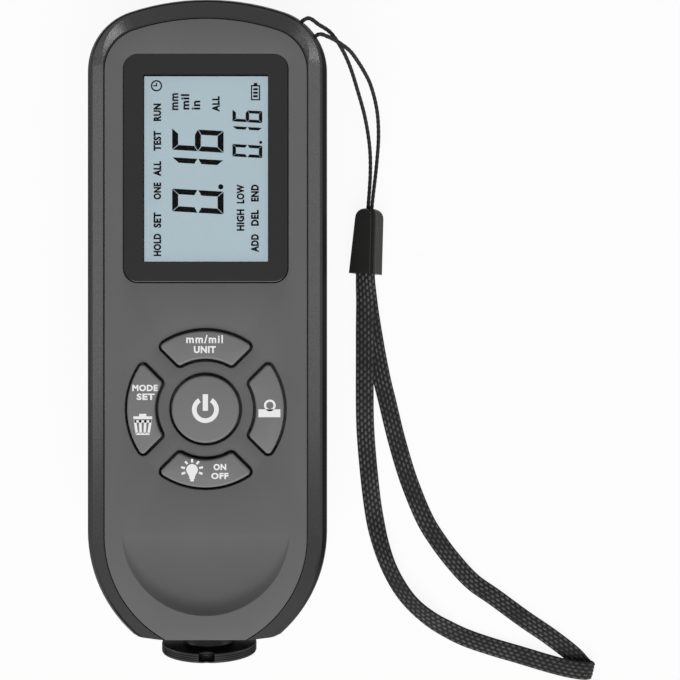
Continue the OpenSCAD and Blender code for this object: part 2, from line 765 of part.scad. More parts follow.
module strap_cord() {
  color("black") sweep(cord_path, level(cord_path), disc(cord_d / 2, 8));
}

module strap_lock() {
  top_w = lock_w - 1.4;
  color("black") translate([lock_at[0], lock_at[1], lock_z]) rotate([0, -lock_roll, lock_turn])
    difference() {
      translate([0, 0, -lock_t / 2]) linear_extrude(lock_t) {
        polygon([[-lock_w / 2, 0], [lock_w / 2, 0], [top_w / 2, lock_l - lock_r],
          [top_w / 2 - lock_r, lock_l], [lock_r - top_w / 2, lock_l], [-top_w / 2, lock_l - lock_r]]);
        for (s = [-1, 1])
          translate([s * (top_w / 2 - lock_r), lock_l - lock_r]) circle(lock_r);
      }
      translate([-braid_w / 2 - 0.1, -1, -braid_t - 0.15]) cube([braid_w + 0.2, 7, 2 * braid_t + 0.3]);
      translate([0, lock_l - 4, 0]) rotate([-90, 0, 0]) cylinder(h = 6, r = cord_d + 0.1);
    }
}

module strap_braid() {
  color("black") sweep(braid_path, braid_side, flat(braid_w, braid_t));
}

front_shell();
rear_shell();
face_panel();
display_window();
lcd_glass();
backlight_panel();
lcd_holder();
main_board();
board_parts();
board_screws();
keypad_mat();
power_key();
unit_key();
mode_key();
zero_key();
light_key();
probe_plunger();
probe_core();
probe_coil();
probe_barrel();
barrel_cap();
probe_spring();
probe_clip();
probe_lead();
battery_cells();
battery_contacts();
battery_cover();
case_screws();
strap_cord();
strap_lock();
strap_braid();
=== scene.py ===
"""Finished look of a handheld coating thickness gauge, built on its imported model.

Lengths are written in millimetres and become metres when a mesh is made.
"""
import math

import bpy
import numpy as np
from bpy.props import FloatProperty, FloatVectorProperty, PointerProperty
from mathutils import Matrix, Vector
from mathutils.geometry import delaunay_2d_cdt


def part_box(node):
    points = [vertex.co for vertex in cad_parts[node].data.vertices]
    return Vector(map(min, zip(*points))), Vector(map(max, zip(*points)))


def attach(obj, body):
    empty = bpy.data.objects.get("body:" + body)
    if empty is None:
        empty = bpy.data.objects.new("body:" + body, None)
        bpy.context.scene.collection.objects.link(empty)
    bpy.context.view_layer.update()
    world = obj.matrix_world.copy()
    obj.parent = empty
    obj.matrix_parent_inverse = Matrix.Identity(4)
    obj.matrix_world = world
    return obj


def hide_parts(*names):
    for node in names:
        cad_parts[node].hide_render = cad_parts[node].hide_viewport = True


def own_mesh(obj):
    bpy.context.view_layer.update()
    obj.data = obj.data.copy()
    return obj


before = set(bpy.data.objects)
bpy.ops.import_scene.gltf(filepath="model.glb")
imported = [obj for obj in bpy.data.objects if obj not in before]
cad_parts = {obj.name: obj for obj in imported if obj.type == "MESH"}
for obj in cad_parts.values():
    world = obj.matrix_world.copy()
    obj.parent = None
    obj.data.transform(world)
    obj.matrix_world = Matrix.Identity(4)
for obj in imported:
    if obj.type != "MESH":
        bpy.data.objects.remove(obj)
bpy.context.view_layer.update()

bl_info = {
    "name": "Coating thickness gauge",
    "version": (1, 0, 0),
    "blender": (4, 5, 0),
    "location": "View3D > Sidebar > Gauge",
    "description": "Finishes and fine shapes of a handheld coating thickness gauge",
    "category": "Object",
}

MM = 0.001

# Places and sizes shared with the solids.
# Case outline: flat arch, round corners and tapered end
ARCH_Y, ARCH_R, CORNER_R, TAPER_X, TAPER_Y, TAPER_R = 17.55, 50.2, 12.8, -3.5, -41.35, 28.1
CORNER = np.array([11.8, 53.0397])
# face panel: upper face, underside and boss; inset from the case outline, drop of the arch, probe end
FACE_Z, PANEL_Z, BOSS_Z = 26.0, 24.5, 23.0
PANEL_IN, PANEL_DROP, PANEL_END = 4.35, 1.2, -62.15
DISH_Y, DISH_R = -40.5, 16.8
# keys: centre, top, hidden flange, ring of four keys, gap round the caps, opening of the round key
KEY_Y, KEY_TOP = -15.9, 26.9
FLANGE_Z, FLANGE_T, FLANGE_GROW = 21.7, 0.9, 0.7
RING_IN, RING_OUT, SPOKE, KEY_CORNER, KEY_GAP = 9.5, 16.2, 3.6, 1.3, 0.58
POWER_R = 7.3
# window plate and the display below it
WINDOW_Y, WINDOW_W, WINDOW_L, WINDOW_R = 32.3, 33.0, 45.8, 2.9
WINDOW_Z = (24.5, 25.9)
GLASS_TOP = 24.4
# probe: front face, axis and flange
PROBE_Y, PROBE_Z, FLANGE_R = -67.75, 13.0, 10.0
# strap: height of the lanyard holes, mouth and size of the lock in degrees and millimetres, cord and braid
CORD_Z = 21.3
LOCK_AT = np.array([33.9, 12.4897])
LOCK_L, LOCK_W, LOCK_T, LOCK_ROLL, LOCK_TURN = 14.4, 6.6, 3.8, 33.0, -4.0
LOCK_Z = LOCK_W / 2 * math.sin(math.radians(LOCK_ROLL)) + LOCK_T / 2 * math.cos(math.radians(LOCK_ROLL))
CORD_D, BRAID_W, BRAID_T = 0.9, 4.0, 1.25
CASE_SCREWS = ((20.0, 45.7), (-20.0, 45.7), (19.8, -30.3), (-19.8, -30.3))

# thickening of printed capitals and of small letters, thickness of the print in metres
BOLD, THIN, INK_T = 0.045, 0.03, 0.00002
# a Mix node's colour sockets: first, second and result
MIX_A, MIX_B, MIX_OUT = 6, 7, 2
COLOUR = {"subtype": "COLOR", "size": 3, "min": 0, "max": 1}


def light(v):
    """Linear light of an sRGB value from 0 to 255."""
    c = v / 255
    return c / 12.92 if c <= 0.04045 else ((c + 0.055) / 1.055) ** 2.4


def tone(r, g=None, b=None):
    """Linear colour of an sRGB grey, or of three sRGB values."""
    return (light(r), light(r if g is None else g), light(r if b is None else b))


class GaugeFinish(bpy.types.PropertyGroup):
    """Colours of the gauge."""
    case: FloatVectorProperty(name="Case", description="Moulded case halves",
                              default=tone(30, 30, 31), **COLOUR)
    panel: FloatVectorProperty(name="Panel", description="Flat face panel",
                               default=tone(103, 103, 104), **COLOUR)
    keys: FloatVectorProperty(name="Keys", description="Key caps", default=tone(113, 113, 114), **COLOUR)
    border: FloatVectorProperty(name="Window border", description="Glossy border of the window",
                                default=tone(14, 14, 15), **COLOUR)
    display: FloatVectorProperty(name="Display", description="Background of the display",
                                 default=tone(192, 212, 221), **COLOUR)
    mark: FloatVectorProperty(name="Display marks", description="Dark marks on the display",
                              default=tone(6, 7, 8), **COLOUR)
    ink: FloatVectorProperty(name="Key print", description="Print on the keys", default=tone(252), **COLOUR)
    probe: FloatVectorProperty(name="Probe", description="Probe neck and flange",
                               default=tone(26, 26, 27), **COLOUR)
    strap: FloatVectorProperty(name="Strap", description="Braid and cord", default=tone(30, 30, 31), **COLOUR)
    lock: FloatVectorProperty(name="Lock", description="Strap lock", default=tone(48, 48, 47), **COLOUR)


class GaugeShape(bpy.types.PropertyGroup):
    """Fine sizes that the solids leave open, in millimetres."""
    key_round: FloatProperty(name="Key edge", description="Rounding of the key caps' upper edge",
                             default=0.42, min=0.1, max=0.6)
    dish_slope: FloatProperty(name="Dish floor", description="Fall of the dish's floor towards the probe",
                              default=0.13, min=0.08, max=0.2)
    dish_rim: FloatProperty(name="Dish rim", description="Steepness of the dish's wall at its rim",
                            default=0.85, min=0.4, max=0.9)
    view_w: FloatProperty(name="View width", description="Clear width of the window",
                          default=24.9, min=20, max=28)
    view_l: FloatProperty(name="View length", description="Clear length of the window",
                          default=37.4, min=30, max=40)
    stitch: FloatProperty(name="Stitch length", description="Length of one plait along the braid",
                          default=1.45, min=0.8, max=3)
    column: FloatProperty(name="Plait width", description="Width of one column of plaits",
                          default=0.8, min=0.5, max=2)
    plait: FloatProperty(name="Plait height", description="Height of the plaits", default=0.2, min=0, max=0.4)
    twist: FloatProperty(name="Cord lay", description="Length of one turn of the cord's strands",
                         default=2.2, min=1, max=6)


class GaugeStage(bpy.types.PropertyGroup):
    """Camera, lights and floor."""
    eye: FloatVectorProperty(name="Camera", description="Place of the camera", subtype="TRANSLATION", size=3,
                             default=(0.0132, -0.0021, 0.242))
    lens: FloatProperty(name="Lens", description="Focal length on a 36 mm sensor",
                        default=57.18, min=20, max=120)
    shift: FloatProperty(name="Shift", description="Sideways shift of the picture",
                         default=0.1005, min=-0.5, max=0.5)
    world: FloatProperty(name="Room light", description="Strength of the even light",
                         default=0.1, min=0, max=2)
    key: FloatProperty(name="Key light", description="Radiance of the large softbox",
                       default=4.8, min=0, max=20)
    side: FloatProperty(name="Side light", description="Radiance of the side softboxes",
                        default=2.4, min=0, max=20)
    corner: FloatProperty(name="Corner light", description="Radiance of the two corner cards",
                          default=20.0, min=0, max=40)
    floor: FloatVectorProperty(name="Floor", description="Floor colour", default=(0.94, 0.94, 0.94), **COLOUR)


def shader(name):
    """A new material with its node tree and its main shader."""
    mat = bpy.data.materials.new(name)
    mat.use_nodes = True
    tree = mat.node_tree
    return mat, tree, tree.nodes["Principled BSDF"]


def object_noise(tree, scale, detail=2.0, stretch=(1, 1, 1)):
    """Noise on Object coordinates; scale is in waves per metre."""
    coords = tree.nodes.new("ShaderNodeTexCoord")
    turn = tree.nodes.new("ShaderNodeMapping")
    turn.inputs["Scale"].default_value = stretch
    tex = tree.nodes.new("ShaderNodeTexNoise")
    tex.inputs["Scale"].default_value = scale
    tex.inputs["Detail"].default_value = detail
    tree.links.new(coords.outputs["Object"], turn.inputs["Vector"])
    tree.links.new(turn.outputs["Vector"], tex.inputs["Vector"])
    return tex.outputs["Fac"]


def spread(tree, fac, low, high, start=0.3, end=0.7):
    """Maps a pattern from start..end to low..high."""
    node = tree.nodes.new("ShaderNodeMapRange")
    node.inputs["From Min"].default_value = start
    node.inputs["From Max"].default_value = end
    node.inputs["To Min"].default_value = low
    node.inputs["To Max"].default_value = high
    tree.links.new(fac, node.inputs["Value"])
    return node.outputs["Result"]


def shades(tree, fac, low, high, start=0.3, end=0.7):
    """Colour between two shades by a pattern."""
    ramp = tree.nodes.new("ShaderNodeValToRGB")
    ramp.color_ramp.elements[0].position = start
    ramp.color_ramp.elements[0].color = (*low, 1)
    ramp.color_ramp.elements[1].position = end
    ramp.color_ramp.elements[1].color = (*high, 1)
    tree.links.new(fac, ramp.inputs["Fac"])
    return ramp.outputs["Color"]


def seen_ray(tree):
    """1 for the rays that show the background: from the camera, off gloss and through glass."""
    path = tree.nodes.new("ShaderNodeLightPath")
    first = tree.nodes.new("ShaderNodeMath")
    second = tree.nodes.new("ShaderNodeMath")
    first.operation = second.operation = "MAXIMUM"
    tree.links.new(path.outputs["Is Camera Ray"], first.inputs[0])
    tree.links.new(path.outputs["Is Glossy Ray"], first.inputs[1])
    tree.links.new(first.outputs["Value"], second.inputs[0])
    tree.links.new(path.outputs["Is Transmission Ray"], second.inputs[1])
    return second.outputs["Value"]


def raised(tree, bsdf, fac, depth):
    """Bump of the given depth in metres from a pattern."""
    bump = tree.nodes.new("ShaderNodeBump")
    bump.inputs["Strength"].default_value = 1.0
    bump.inputs["Distance"].default_value = depth
    tree.links.new(fac, bump.inputs["Height"])
    tree.links.new(bump.outputs["Normal"], bsdf.inputs["Normal"])


def moulded(name, colour, rough, grain, depth, mottle=0.05, specular=0.5, graze=None, painted_shade=0):
    """Moulded plastic: fine spark-eroded grain, uneven gloss and a faint cloud in the colour.

    With graze given, the gloss falls to it on surfaces seen at a slant, as on a matt-textured wall.
    The last argument paints shade: the colour darkens by its share where the piece's own attribute of the same
    name is 1.
    """
    mat, tree, bsdf = shader(name)
    fine = object_noise(tree, grain, 3.0)
    cloud = object_noise(tree, 90.0, 3.0)
    c = np.array(colour)
    hue = shades(tree, cloud, c * (1 - mottle), c * (1 + mottle))
    # painted shade: the colour is multiplied darker where the piece's attribute is 1
    if painted_shade:
        mark = tree.nodes.new("ShaderNodeAttribute")
        mark.attribute_name = "painted_shade"
        darker = tree.nodes.new("ShaderNodeMix")
        darker.data_type, darker.blend_type = "RGBA", "MULTIPLY"
        darker.inputs[MIX_B].default_value = (1 - painted_shade, 1 - painted_shade, 1 - painted_shade, 1)
        tree.links.new(mark.outputs["Fac"], darker.inputs[0])
        tree.links.new(hue, darker.inputs[MIX_A])
        hue = darker.outputs[MIX_OUT]
    tree.links.new(hue, bsdf.inputs["Base Color"])
    tree.links.new(spread(tree, fine, rough[0], rough[1]), bsdf.inputs["Roughness"])
    bsdf.inputs["Specular IOR Level"].default_value = specular
    if graze is not None:
        slant = tree.nodes.new("ShaderNodeLayerWeight")
        slant.inputs["Blend"].default_value = 0.5
        tree.links.new(spread(tree, slant.outputs["Facing"], specular, graze, 0.34, 0.62),
                       bsdf.inputs["Specular IOR Level"])
    raised(tree, bsdf, fine, depth)
    return mat


def brushed(name, colour, rough):
    """Turned or rolled metal: fine lines along X with an uneven gloss."""
    mat, tree, bsdf = shader(name)
    fine = object_noise(tree, 2500.0, 3.0, (0.08, 1, 1))
    c = np.array(colour)
    tree.links.new(shades(tree, fine, c * 0.85, c), bsdf.inputs["Base Color"])
    tree.links.new(spread(tree, fine, rough * 0.8, rough * 1.3), bsdf.inputs["Roughness"])
    bsdf.inputs["Metallic"].default_value = 1.0
    raised(tree, bsdf, fine, 0.000004)
    return mat


def woven(name, colour, top, attribute):
    """Yarn with a painted highlight on its raised plaits: the colour turns lighter with the height attribute,
    with fibres over it.

    A slow cloud makes the painted highlight stronger on some stretches than on others.
    """
    mat, tree, bsdf = shader(name)
    height = tree.nodes.new("ShaderNodeAttribute")
    height.attribute_name = attribute
    fibre = object_noise(tree, 5200.0, 4.0)
    # painted highlight: the height times a slow cloud sets how far the colour turns to the lighter shade
    painted_sheen = tree.nodes.new("ShaderNodeMath")
    painted_sheen.operation = "MULTIPLY"
    tree.links.new(height.outputs["Fac"], painted_sheen.inputs[0])
    tree.links.new(spread(tree, object_noise(tree, 170.0), 0.45, 1.4, 0.35, 0.65), painted_sheen.inputs[1])
    mix = tree.nodes.new("ShaderNodeMath")
    mix.operation = "MULTIPLY_ADD"
    mix.inputs[1].default_value = 0.55
    tree.links.new(fibre, mix.inputs[0])
    tree.links.new(painted_sheen.outputs["Value"], mix.inputs[2])
    tree.links.new(shades(tree, mix.outputs["Value"], colour, top, 0.25, 1.25), bsdf.inputs["Base Color"])
    tree.links.new(spread(tree, fibre, 0.5, 0.75), bsdf.inputs["Roughness"])
    bsdf.inputs["Specular IOR Level"].default_value = 0.12
    bsdf.inputs["Sheen Weight"].default_value = 0.03
    bsdf.inputs["Sheen Roughness"].default_value = 0.5
    raised(tree, bsdf, fibre, 0.00004)
    return mat


def skin(rows, cols, wrap_rows=False, wrap_cols=True):
    """Quads between neighbouring points of a rows x cols grid."""
    i = np.arange(rows if wrap_rows else rows - 1)[:, None]
    j = np.arange(cols if wrap_cols else cols - 1)[None, :]
    i2, j2 = (i + 1) % rows, (j + 1) % cols
    quads = np.broadcast_arrays(i * cols + j, i * cols + j2, i2 * cols + j2, i2 * cols + j)
    return np.stack(quads, -1).reshape(-1, 4)


def capped(rows, cols, flip=False):
    """Faces of a tube of closed rings with a cap at each end; flip is for rings that wind the other way."""
    quads = skin(rows, cols).tolist()
    caps = [list(range(cols - 1, -1, -1)), list(range((rows - 1) * cols, rows * cols))]
    return [f[::-1] for f in quads + caps] if flip else quads + caps


def piece(name, verts, faces, mats, body, nodes=(), face_mats=None, sharp=35):
    """A finished mesh piece in the shared frame, riding on a body."""
    mesh = bpy.data.meshes.new(name)
    mesh.from_pydata((np.asarray(verts) * MM).tolist(), [], [list(f) for f in faces])
    for mat in mats:
        mesh.materials.append(mat)
    if face_mats is not None:
        mesh.polygons.foreach_set("material_index", np.asarray(face_mats, np.int32))
    mesh.polygons.foreach_set("use_smooth", np.ones(len(mesh.polygons), bool))
    mesh.update()
    if sharp:
        mesh.set_sharp_from_angle(angle=math.radians(sharp))
    obj = bpy.data.objects.new(name, mesh)
    bpy.context.scene.collection.objects.link(obj)
    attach(obj, body)
    if nodes:
        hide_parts(*nodes)
    return obj


def finish_node(node, mat):
    """Gives a solid that stays in view its finish."""
    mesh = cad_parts[node].data
    mesh.materials.clear()
    mesh.materials.append(mat)


def round_rect(w, l, r, n=8):
    """Counter-clockwise outline of a rectangle with round corners, n points to a corner."""
    a = np.linspace(0, np.pi / 2, n)
    turn = np.arange(4)[:, None] * np.pi / 2
    sx = np.array([1, -1, -1, 1])[:, None] * (w / 2 - r)
    sy = np.array([1, 1, -1, -1])[:, None] * (l / 2 - r)
    return np.stack([sx + r * np.cos(a + turn), sy + r * np.sin(a + turn)], -1).reshape(-1, 2)


def key_outline(g):
    """Counter-clockwise outline of the upper ring key grown by g.

    Two arcs, two edges along the spokes and four round corners.
    """
    ro, ri, s, c = RING_OUT + g, RING_IN - g, SPOKE / 2 - g, max(KEY_CORNER + g, 0.1)
    uo, ui = math.sqrt((ro - c) ** 2 - (s + c) ** 2), math.sqrt((ri + c) ** 2 - (s + c) ** 2)
    to, ti = math.atan2(s + c, uo), math.atan2(s + c, ui)
    inner, outer = np.linspace(ti + np.pi, 1.5 * np.pi, 9), np.linspace(-np.pi / 2, to, 9)
    edge = np.linspace(ui, uo, 8)[1:-1]
    u = np.concatenate([ui + c * np.cos(inner), edge, uo + c * np.cos(outer)])
    v = np.concatenate([s + c + c * np.sin(inner), np.full(6, s), s + c + c * np.sin(outer)])
    right = np.stack([(u - v), (u + v)], -1) / math.sqrt(2)
    left = right[::-1] * (-1, 1)
    arc = np.linspace(np.pi / 4 + to, 0.75 * np.pi - to, 42)[1:-1]
    back = np.linspace(0.75 * np.pi - ti, np.pi / 4 + ti, 30)[1:-1]
    return np.concatenate([right, ro * np.stack([np.cos(arc), np.sin(arc)], -1), left,
                           ri * np.stack([np.cos(back), np.sin(back)], -1)])


def panel_outline(g):
    """Counter-clockwise outline of the face panel inset by g.

    Half of it runs along the tapered end, the straight side, the round corner and the flat arch; the other half
    is its mirror image.
    """
    d = PANEL_IN + g
    rt, rc, ra = TAPER_R - d, CORNER_R - d, ARCH_R - d
    low = -math.asin((TAPER_Y - PANEL_END - g) / rt)
    swing = math.atan2(CORNER[1] - ARCH_Y, CORNER[0])
    side, turn = np.linspace(low, 0, 40), np.linspace(0, swing, 24)
    flat = np.linspace(swing, np.pi / 2, 20)[1:]
    right = np.vstack([np.stack([TAPER_X + rt * np.cos(side), TAPER_Y + rt * np.sin(side)], -1),
                       np.stack([CORNER[0] + rc * np.cos(turn),
                                 CORNER[1] - PANEL_DROP + rc * np.sin(turn)], -1),
                       np.stack([ra * np.cos(flat), ARCH_Y - PANEL_DROP + ra * np.sin(flat)], -1)])
    return np.vstack([right, right[-2::-1] * (-1, 1)])


def within(points, loop):
    """Which points lie inside a loop: a line from them towards +X crosses it an odd number of times."""
    a, b = loop, np.roll(loop, -1, 0)
    x, y = points[:, :1], points[:, 1:]
    spans = (a[:, 1] > y) != (b[:, 1] > y)
    rise = np.where(b[:, 1] == a[:, 1], 1.0, b[:, 1] - a[:, 1])
    return (spans & (a[:, 0] + (y - a[:, 1]) * (b[:, 0] - a[:, 0]) / rise > x)).sum(1) % 2 == 1


def filled(loops):
    """Flat triangles that fill the first loop and leave the others open, on the loops' own points."""
    pts = np.vstack(loops)
    first = np.cumsum([0] + [len(q) for q in loops])
    edges = [(a + k, a + (k + 1) % (b - a)) for a, b in zip(first, first[1:]) for k in range(b - a)]
    made = delaunay_2d_cdt([Vector(q) for q in pts], edges, [], 1, 1e-7)
    source = np.array([o[0] for o in made[3]])
    tris = source[np.array(made[2])]
    middle = pts[tris].mean(1)
    tris = tris[within(middle, loops[0]) & ~np.any([within(middle, k) for k in loops[1:]], axis=0)]
    q = pts[tris]
    e, f = q[:, 1] - q[:, 0], q[:, 2] - q[:, 1]
    area = e[:, 0] * f[:, 1] - e[:, 1] * f[:, 0]
    return np.where(area[:, None] > 0, tris, tris[:, ::-1])


def circle(r, n=96):
    """Counter-clockwise circle."""
    a = np.arange(n) * 2 * np.pi / n
    return r * np.stack([np.cos(a), np.sin(a)], -1)


def cap_levels(gap, edge):
    """Growth and height of the loops up a key cap: flange, side, quarter-round edge."""
    a = np.linspace(0, np.pi / 2, 7)
    g = np.concatenate([[FLANGE_GROW, FLANGE_GROW, -gap], -gap - edge * (1 - np.cos(a))])
    top = FLANGE_Z + FLANGE_T
    z = np.concatenate([[FLANGE_Z, top, top], KEY_TOP - edge + edge * np.sin(a)])
    return g, z


def key_cap(name, outline, turn, edge, mat):
    """Key cap: loops of the outline stacked from the flange up to a rounded upper edge, closed at both ends."""
    g, z = cap_levels(KEY_GAP, edge)
    loops = np.stack([outline(k) for k in g])
    ca, sa = math.cos(turn), math.sin(turn)
    x, y = loops[..., 0] * ca - loops[..., 1] * sa, loops[..., 0] * sa + loops[..., 1] * ca + KEY_Y
    verts = np.stack([x, y, np.broadcast_to(z[:, None], x.shape)], -1).reshape(-1, 3)
    piece(name + "_cap", verts, capped(*x.shape), [mat], name, [name])


class Print:
    """Flat marks gathered into one mesh: every mark is a set of points and faces on a plane."""

    def __init__(self):
        self.verts, self.faces, self.count = [], [], 0

    def add(self, points, faces):
        """Adds a mark; a face whose first corner turns clockwise is turned round."""
        points = np.asarray(points, float)
        p = points[np.asarray([f[:3] for f in faces])]
        e, f = p[:, 1] - p[:, 0], p[:, 2] - p[:, 1]
        area = e[:, 0] * f[:, 1] - e[:, 1] * f[:, 0]
        for face, a in zip(faces, area):
            order = list(face) if a > 0 else list(face)[::-1]
            self.faces.append([k + self.count for k in order])
        self.verts.append(points)
        self.count += len(points)

    def bar(self, x0, y0, x1, y1):
        """Rectangle between two corners."""
        self.add([(x0, y0), (x1, y0), (x1, y1), (x0, y1)], [(0, 1, 2, 3)])

    def poly(self, points):
        """One face with the given corners."""
        self.add(points, [tuple(range(len(points)))])

    def ring(self, x, y, r, w, a0=0.0, a1=360.0, n=40):
        """Arc of mean radius r and width w from a0 to a1 degrees; a full turn closes on itself."""
        whole = a1 - a0 >= 360
        a = np.radians(np.linspace(a0, a1, n, endpoint=not whole))
        rim = np.stack([np.cos(a), np.sin(a)], -1)
        pts = np.concatenate([(r + w / 2) * rim, (r - w / 2) * rim]) + (x, y)
        i = np.arange(n if whole else n - 1)
        j = (i + 1) % n
        self.add(pts, np.stack([i, j, j + n, i + n], -1).tolist())

    def stroke(self, x0, y0, x1, y1, w):
        """Straight stroke of width w between two points."""
        d = np.array([x1 - x0, y1 - y0])
        k = np.array([-d[1], d[0]]) / np.hypot(*d) * w / 2
        a, b = np.array([x0, y0]), np.array([x1, y1])
        self.add([a - k, b - k, b + k, a + k], [(0, 1, 2, 3)])

    def word(self, text, x0, y0, x1, y1, upright=False, bold=BOLD, gap=1.1):
        """Word set into a box; an upright one reads towards +Y with its tops towards -X."""
        curve = bpy.data.curves.new("word", "FONT")
        curve.body, curve.offset, curve.resolution_u, curve.space_character = text, bold, 3, gap
        obj = bpy.data.objects.new("word", curve)
        bpy.context.scene.collection.objects.link(obj)
        made = bpy.data.meshes.new_from_object(obj.evaluated_get(bpy.context.evaluated_depsgraph_get()))
        co = np.empty(len(made.vertices) * 3)
        made.vertices.foreach_get("co", co)
        faces = [tuple(p.vertices) for p in made.polygons]
        bpy.data.objects.remove(obj)
        bpy.data.curves.remove(curve)
        bpy.data.meshes.remove(made)
        co = co.reshape(-1, 3)[:, :2]
        unit = (co - co.min(0)) / (co.max(0) - co.min(0))
        if upright:
            pts = np.stack([x1 - (x1 - x0) * unit[:, 1], y0 + (y1 - y0) * unit[:, 0]], -1)
        else:
            pts = np.stack([x0 + (x1 - x0) * unit[:, 0], y0 + (y1 - y0) * unit[:, 1]], -1)
        self.add(pts, faces)

    def digit(self, value, x_base, x_top, y0, y1, lean=0.06, w=0.24):
        """Seven-segment digit reading towards +Y.

        Mitred bars of width w on a cell one wide and two high, shrunk a little, sheared and set in a box.
        """
        shown = {0: "abcdef", 1: "bc", 2: "abged", 3: "abgcd", 4: "fgbc", 5: "afgcd", 6: "afgedc", 7: "abc",
                 8: "abcdefg", 9: "abcfgd"}[value]
        h = w / 2
        bars = {"a": [(0, 2), (w, 2 - w), (1 - w, 2 - w), (1, 2)],
                "b": [(1, 1), (1, 2), (1 - w, 2 - w), (1 - w, 1 + h)],
                "c": [(1, 0), (1, 1), (1 - w, 1 - h), (1 - w, w)],
                "d": [(0, 0), (1, 0), (1 - w, w), (w, w)],
                "e": [(0, 0), (w, w), (w, 1 - h), (0, 1)],
                "f": [(0, 1), (w, 1 + h), (w, 2 - w), (0, 2)],
                "g": [(0, 1), (w, 1 - h), (1 - w, 1 - h), (1, 1), (1 - w, 1 + h), (w, 1 + h)]}
        for k in shown:
            bar = np.array(bars[k], float)
            bar = bar.mean(0) + (bar - bar.mean(0)) * 0.95
            x = x_base + (x_top - x_base) * bar[:, 1] / 2
            y = y0 + (y1 - y0) * bar[:, 0] + (bar[:, 1] / 2 - 0.5) * lean * abs(x_top - x_base)
            self.poly(np.stack([x, y], -1))

    def build(self, name, z, mat, body):
        """All marks as one piece at height z, thickened upwards."""
        pts = np.concatenate(self.verts)
        verts = np.column_stack([pts, np.full(len(pts), z)])
        obj = piece(name, verts, self.faces, [mat], body, sharp=None)
        obj.data.polygons.foreach_set("use_smooth", np.zeros(len(self.faces), bool))
        thick = obj.modifiers.new("ink", "SOLIDIFY")
        thick.thickness, thick.offset = INK_T, 1.0


def smooth_path(points, step):
    """Centripetal spline through the points, sampled about every step millimetres.

    Between two points the curve is the usual four-point blend with knots at the root of the chord lengths.
    """
    p = np.asarray(points, float)
    ends = np.vstack([2 * p[0] - p[1], p, 2 * p[-1] - p[-2]])
    knot = np.concatenate([[0], np.cumsum(np.sqrt(np.linalg.norm(np.diff(ends[:, :3], axis=0), axis=1)))])
    out = []
    for i in range(1, len(ends) - 2):
        n = max(2, int(math.ceil(np.linalg.norm(ends[i + 1, :3] - ends[i, :3]) / step)))
        t = np.linspace(knot[i], knot[i + 1], n, endpoint=False)[:, None]
        k0, k1, k2, k3 = knot[i - 1:i + 3]
        q0, q1, q2, q3 = ends[i - 1:i + 3]
        a1 = (k1 - t) / (k1 - k0) * q0 + (t - k0) / (k1 - k0) * q1
        a2 = (k2 - t) / (k2 - k1) * q1 + (t - k1) / (k2 - k1) * q2
        a3 = (k3 - t) / (k3 - k2) * q2 + (t - k2) / (k3 - k2) * q3
        b1 = (k2 - t) / (k2 - k0) * a1 + (t - k0) / (k2 - k0) * a2
        b2 = (k3 - t) / (k3 - k1) * a2 + (t - k1) / (k3 - k1) * a3
        out.append((k2 - t) / (k2 - k1) * b1 + (t - k1) / (k2 - k1) * b2)
    return np.vstack(out + [p[-1:]])


def unit_rows(v):
    """Each row scaled to length one."""
    return v / np.linalg.norm(v, axis=1, keepdims=True)


def tangents(p):
    """Direction of a path at each of its points."""
    return unit_rows(np.gradient(p, axis=0))


def run(p):
    """Length along a path up to each of its points."""
    return np.concatenate([[0], np.cumsum(np.linalg.norm(np.diff(p, axis=0), axis=1))])


def lock_point(v):
    """Point of the lock's own axes (across, along, up) in the shared frame: rolled, then turned."""
    v = np.atleast_2d(np.asarray(v, float))
    r, t = math.radians(LOCK_ROLL), math.radians(LOCK_TURN)
    x = v[:, 0] * math.cos(r) - v[:, 2] * math.sin(r)
    z = v[:, 0] * math.sin(r) + v[:, 2] * math.cos(r)
    return np.stack([LOCK_AT[0] + x * math.cos(t) - v[:, 1] * math.sin(t),
                     LOCK_AT[1] + x * math.sin(t) + v[:, 1] * math.cos(t), LOCK_Z + z], -1)


def cord_route():
    """Points of the lanyard cord: out of the lock, up to one hole, behind the corner wall and back.

    A strand's rows give its place from the corner's centre, and its height as a share of the way up from the
    lock to the holes.
    """
    strand_a = np.array([(11.1, 9.5, .96), (13.2, 8.6, .88), (14.6, 7.5, .8), (16.6, 5.3, .64),
                         (18.1, 2.9, .5), (19.8, -.9, .32), (21.8, -6.6, .15), (23, -12.9, .04),
                         (23.2, -18.2, 0)])
    strand_b = np.array([(12.9, 6.9, .99), (14.3, 6.4, .96), (15.6, 5.8, .92), (17.6, 4.7, .84),
                         (19.3, 3.3, .71), (20.8, 1.8, .58), (22.5, -.4, .42), (24.3, -5.1, .2),
                         (24.9, -10.2, .06), (24.6, -16.2, 0)])

    def drop(q):
        """A strand's rows as points."""
        return np.column_stack([q[:, :2] + CORNER, LOCK_Z + q[:, 2] * (CORD_Z - LOCK_Z)])

    # radius and angle about the corner's centre, in through the hole at a0 and out through the one at a1
    a0, a1 = 53.3, 34.3
    bend = np.array([(13.8, a0 - 3), (10.6, a0), (9.8, a0 - 5), (9.8, (a0 + a1) / 2), (9.8, a1 + 5),
                     (10.6, a1), (13.4, a1 - 1)])
    ang = np.radians(bend[:, 1])
    inside = np.column_stack([CORNER[0] + bend[:, 0] * np.cos(ang), CORNER[1] + bend[:, 0] * np.sin(ang),
                              np.full(len(ang), CORD_Z)])
    apart, sunk, clear = 0.47, LOCK_L - 3, LOCK_L + 0.6
    return np.vstack([lock_point([(-apart, sunk, 0), (-apart, clear, 0)]), drop(strand_a)[::-1], inside,
                      drop(strand_b), lock_point([(apart, clear, 0), (apart, sunk, 0)])])


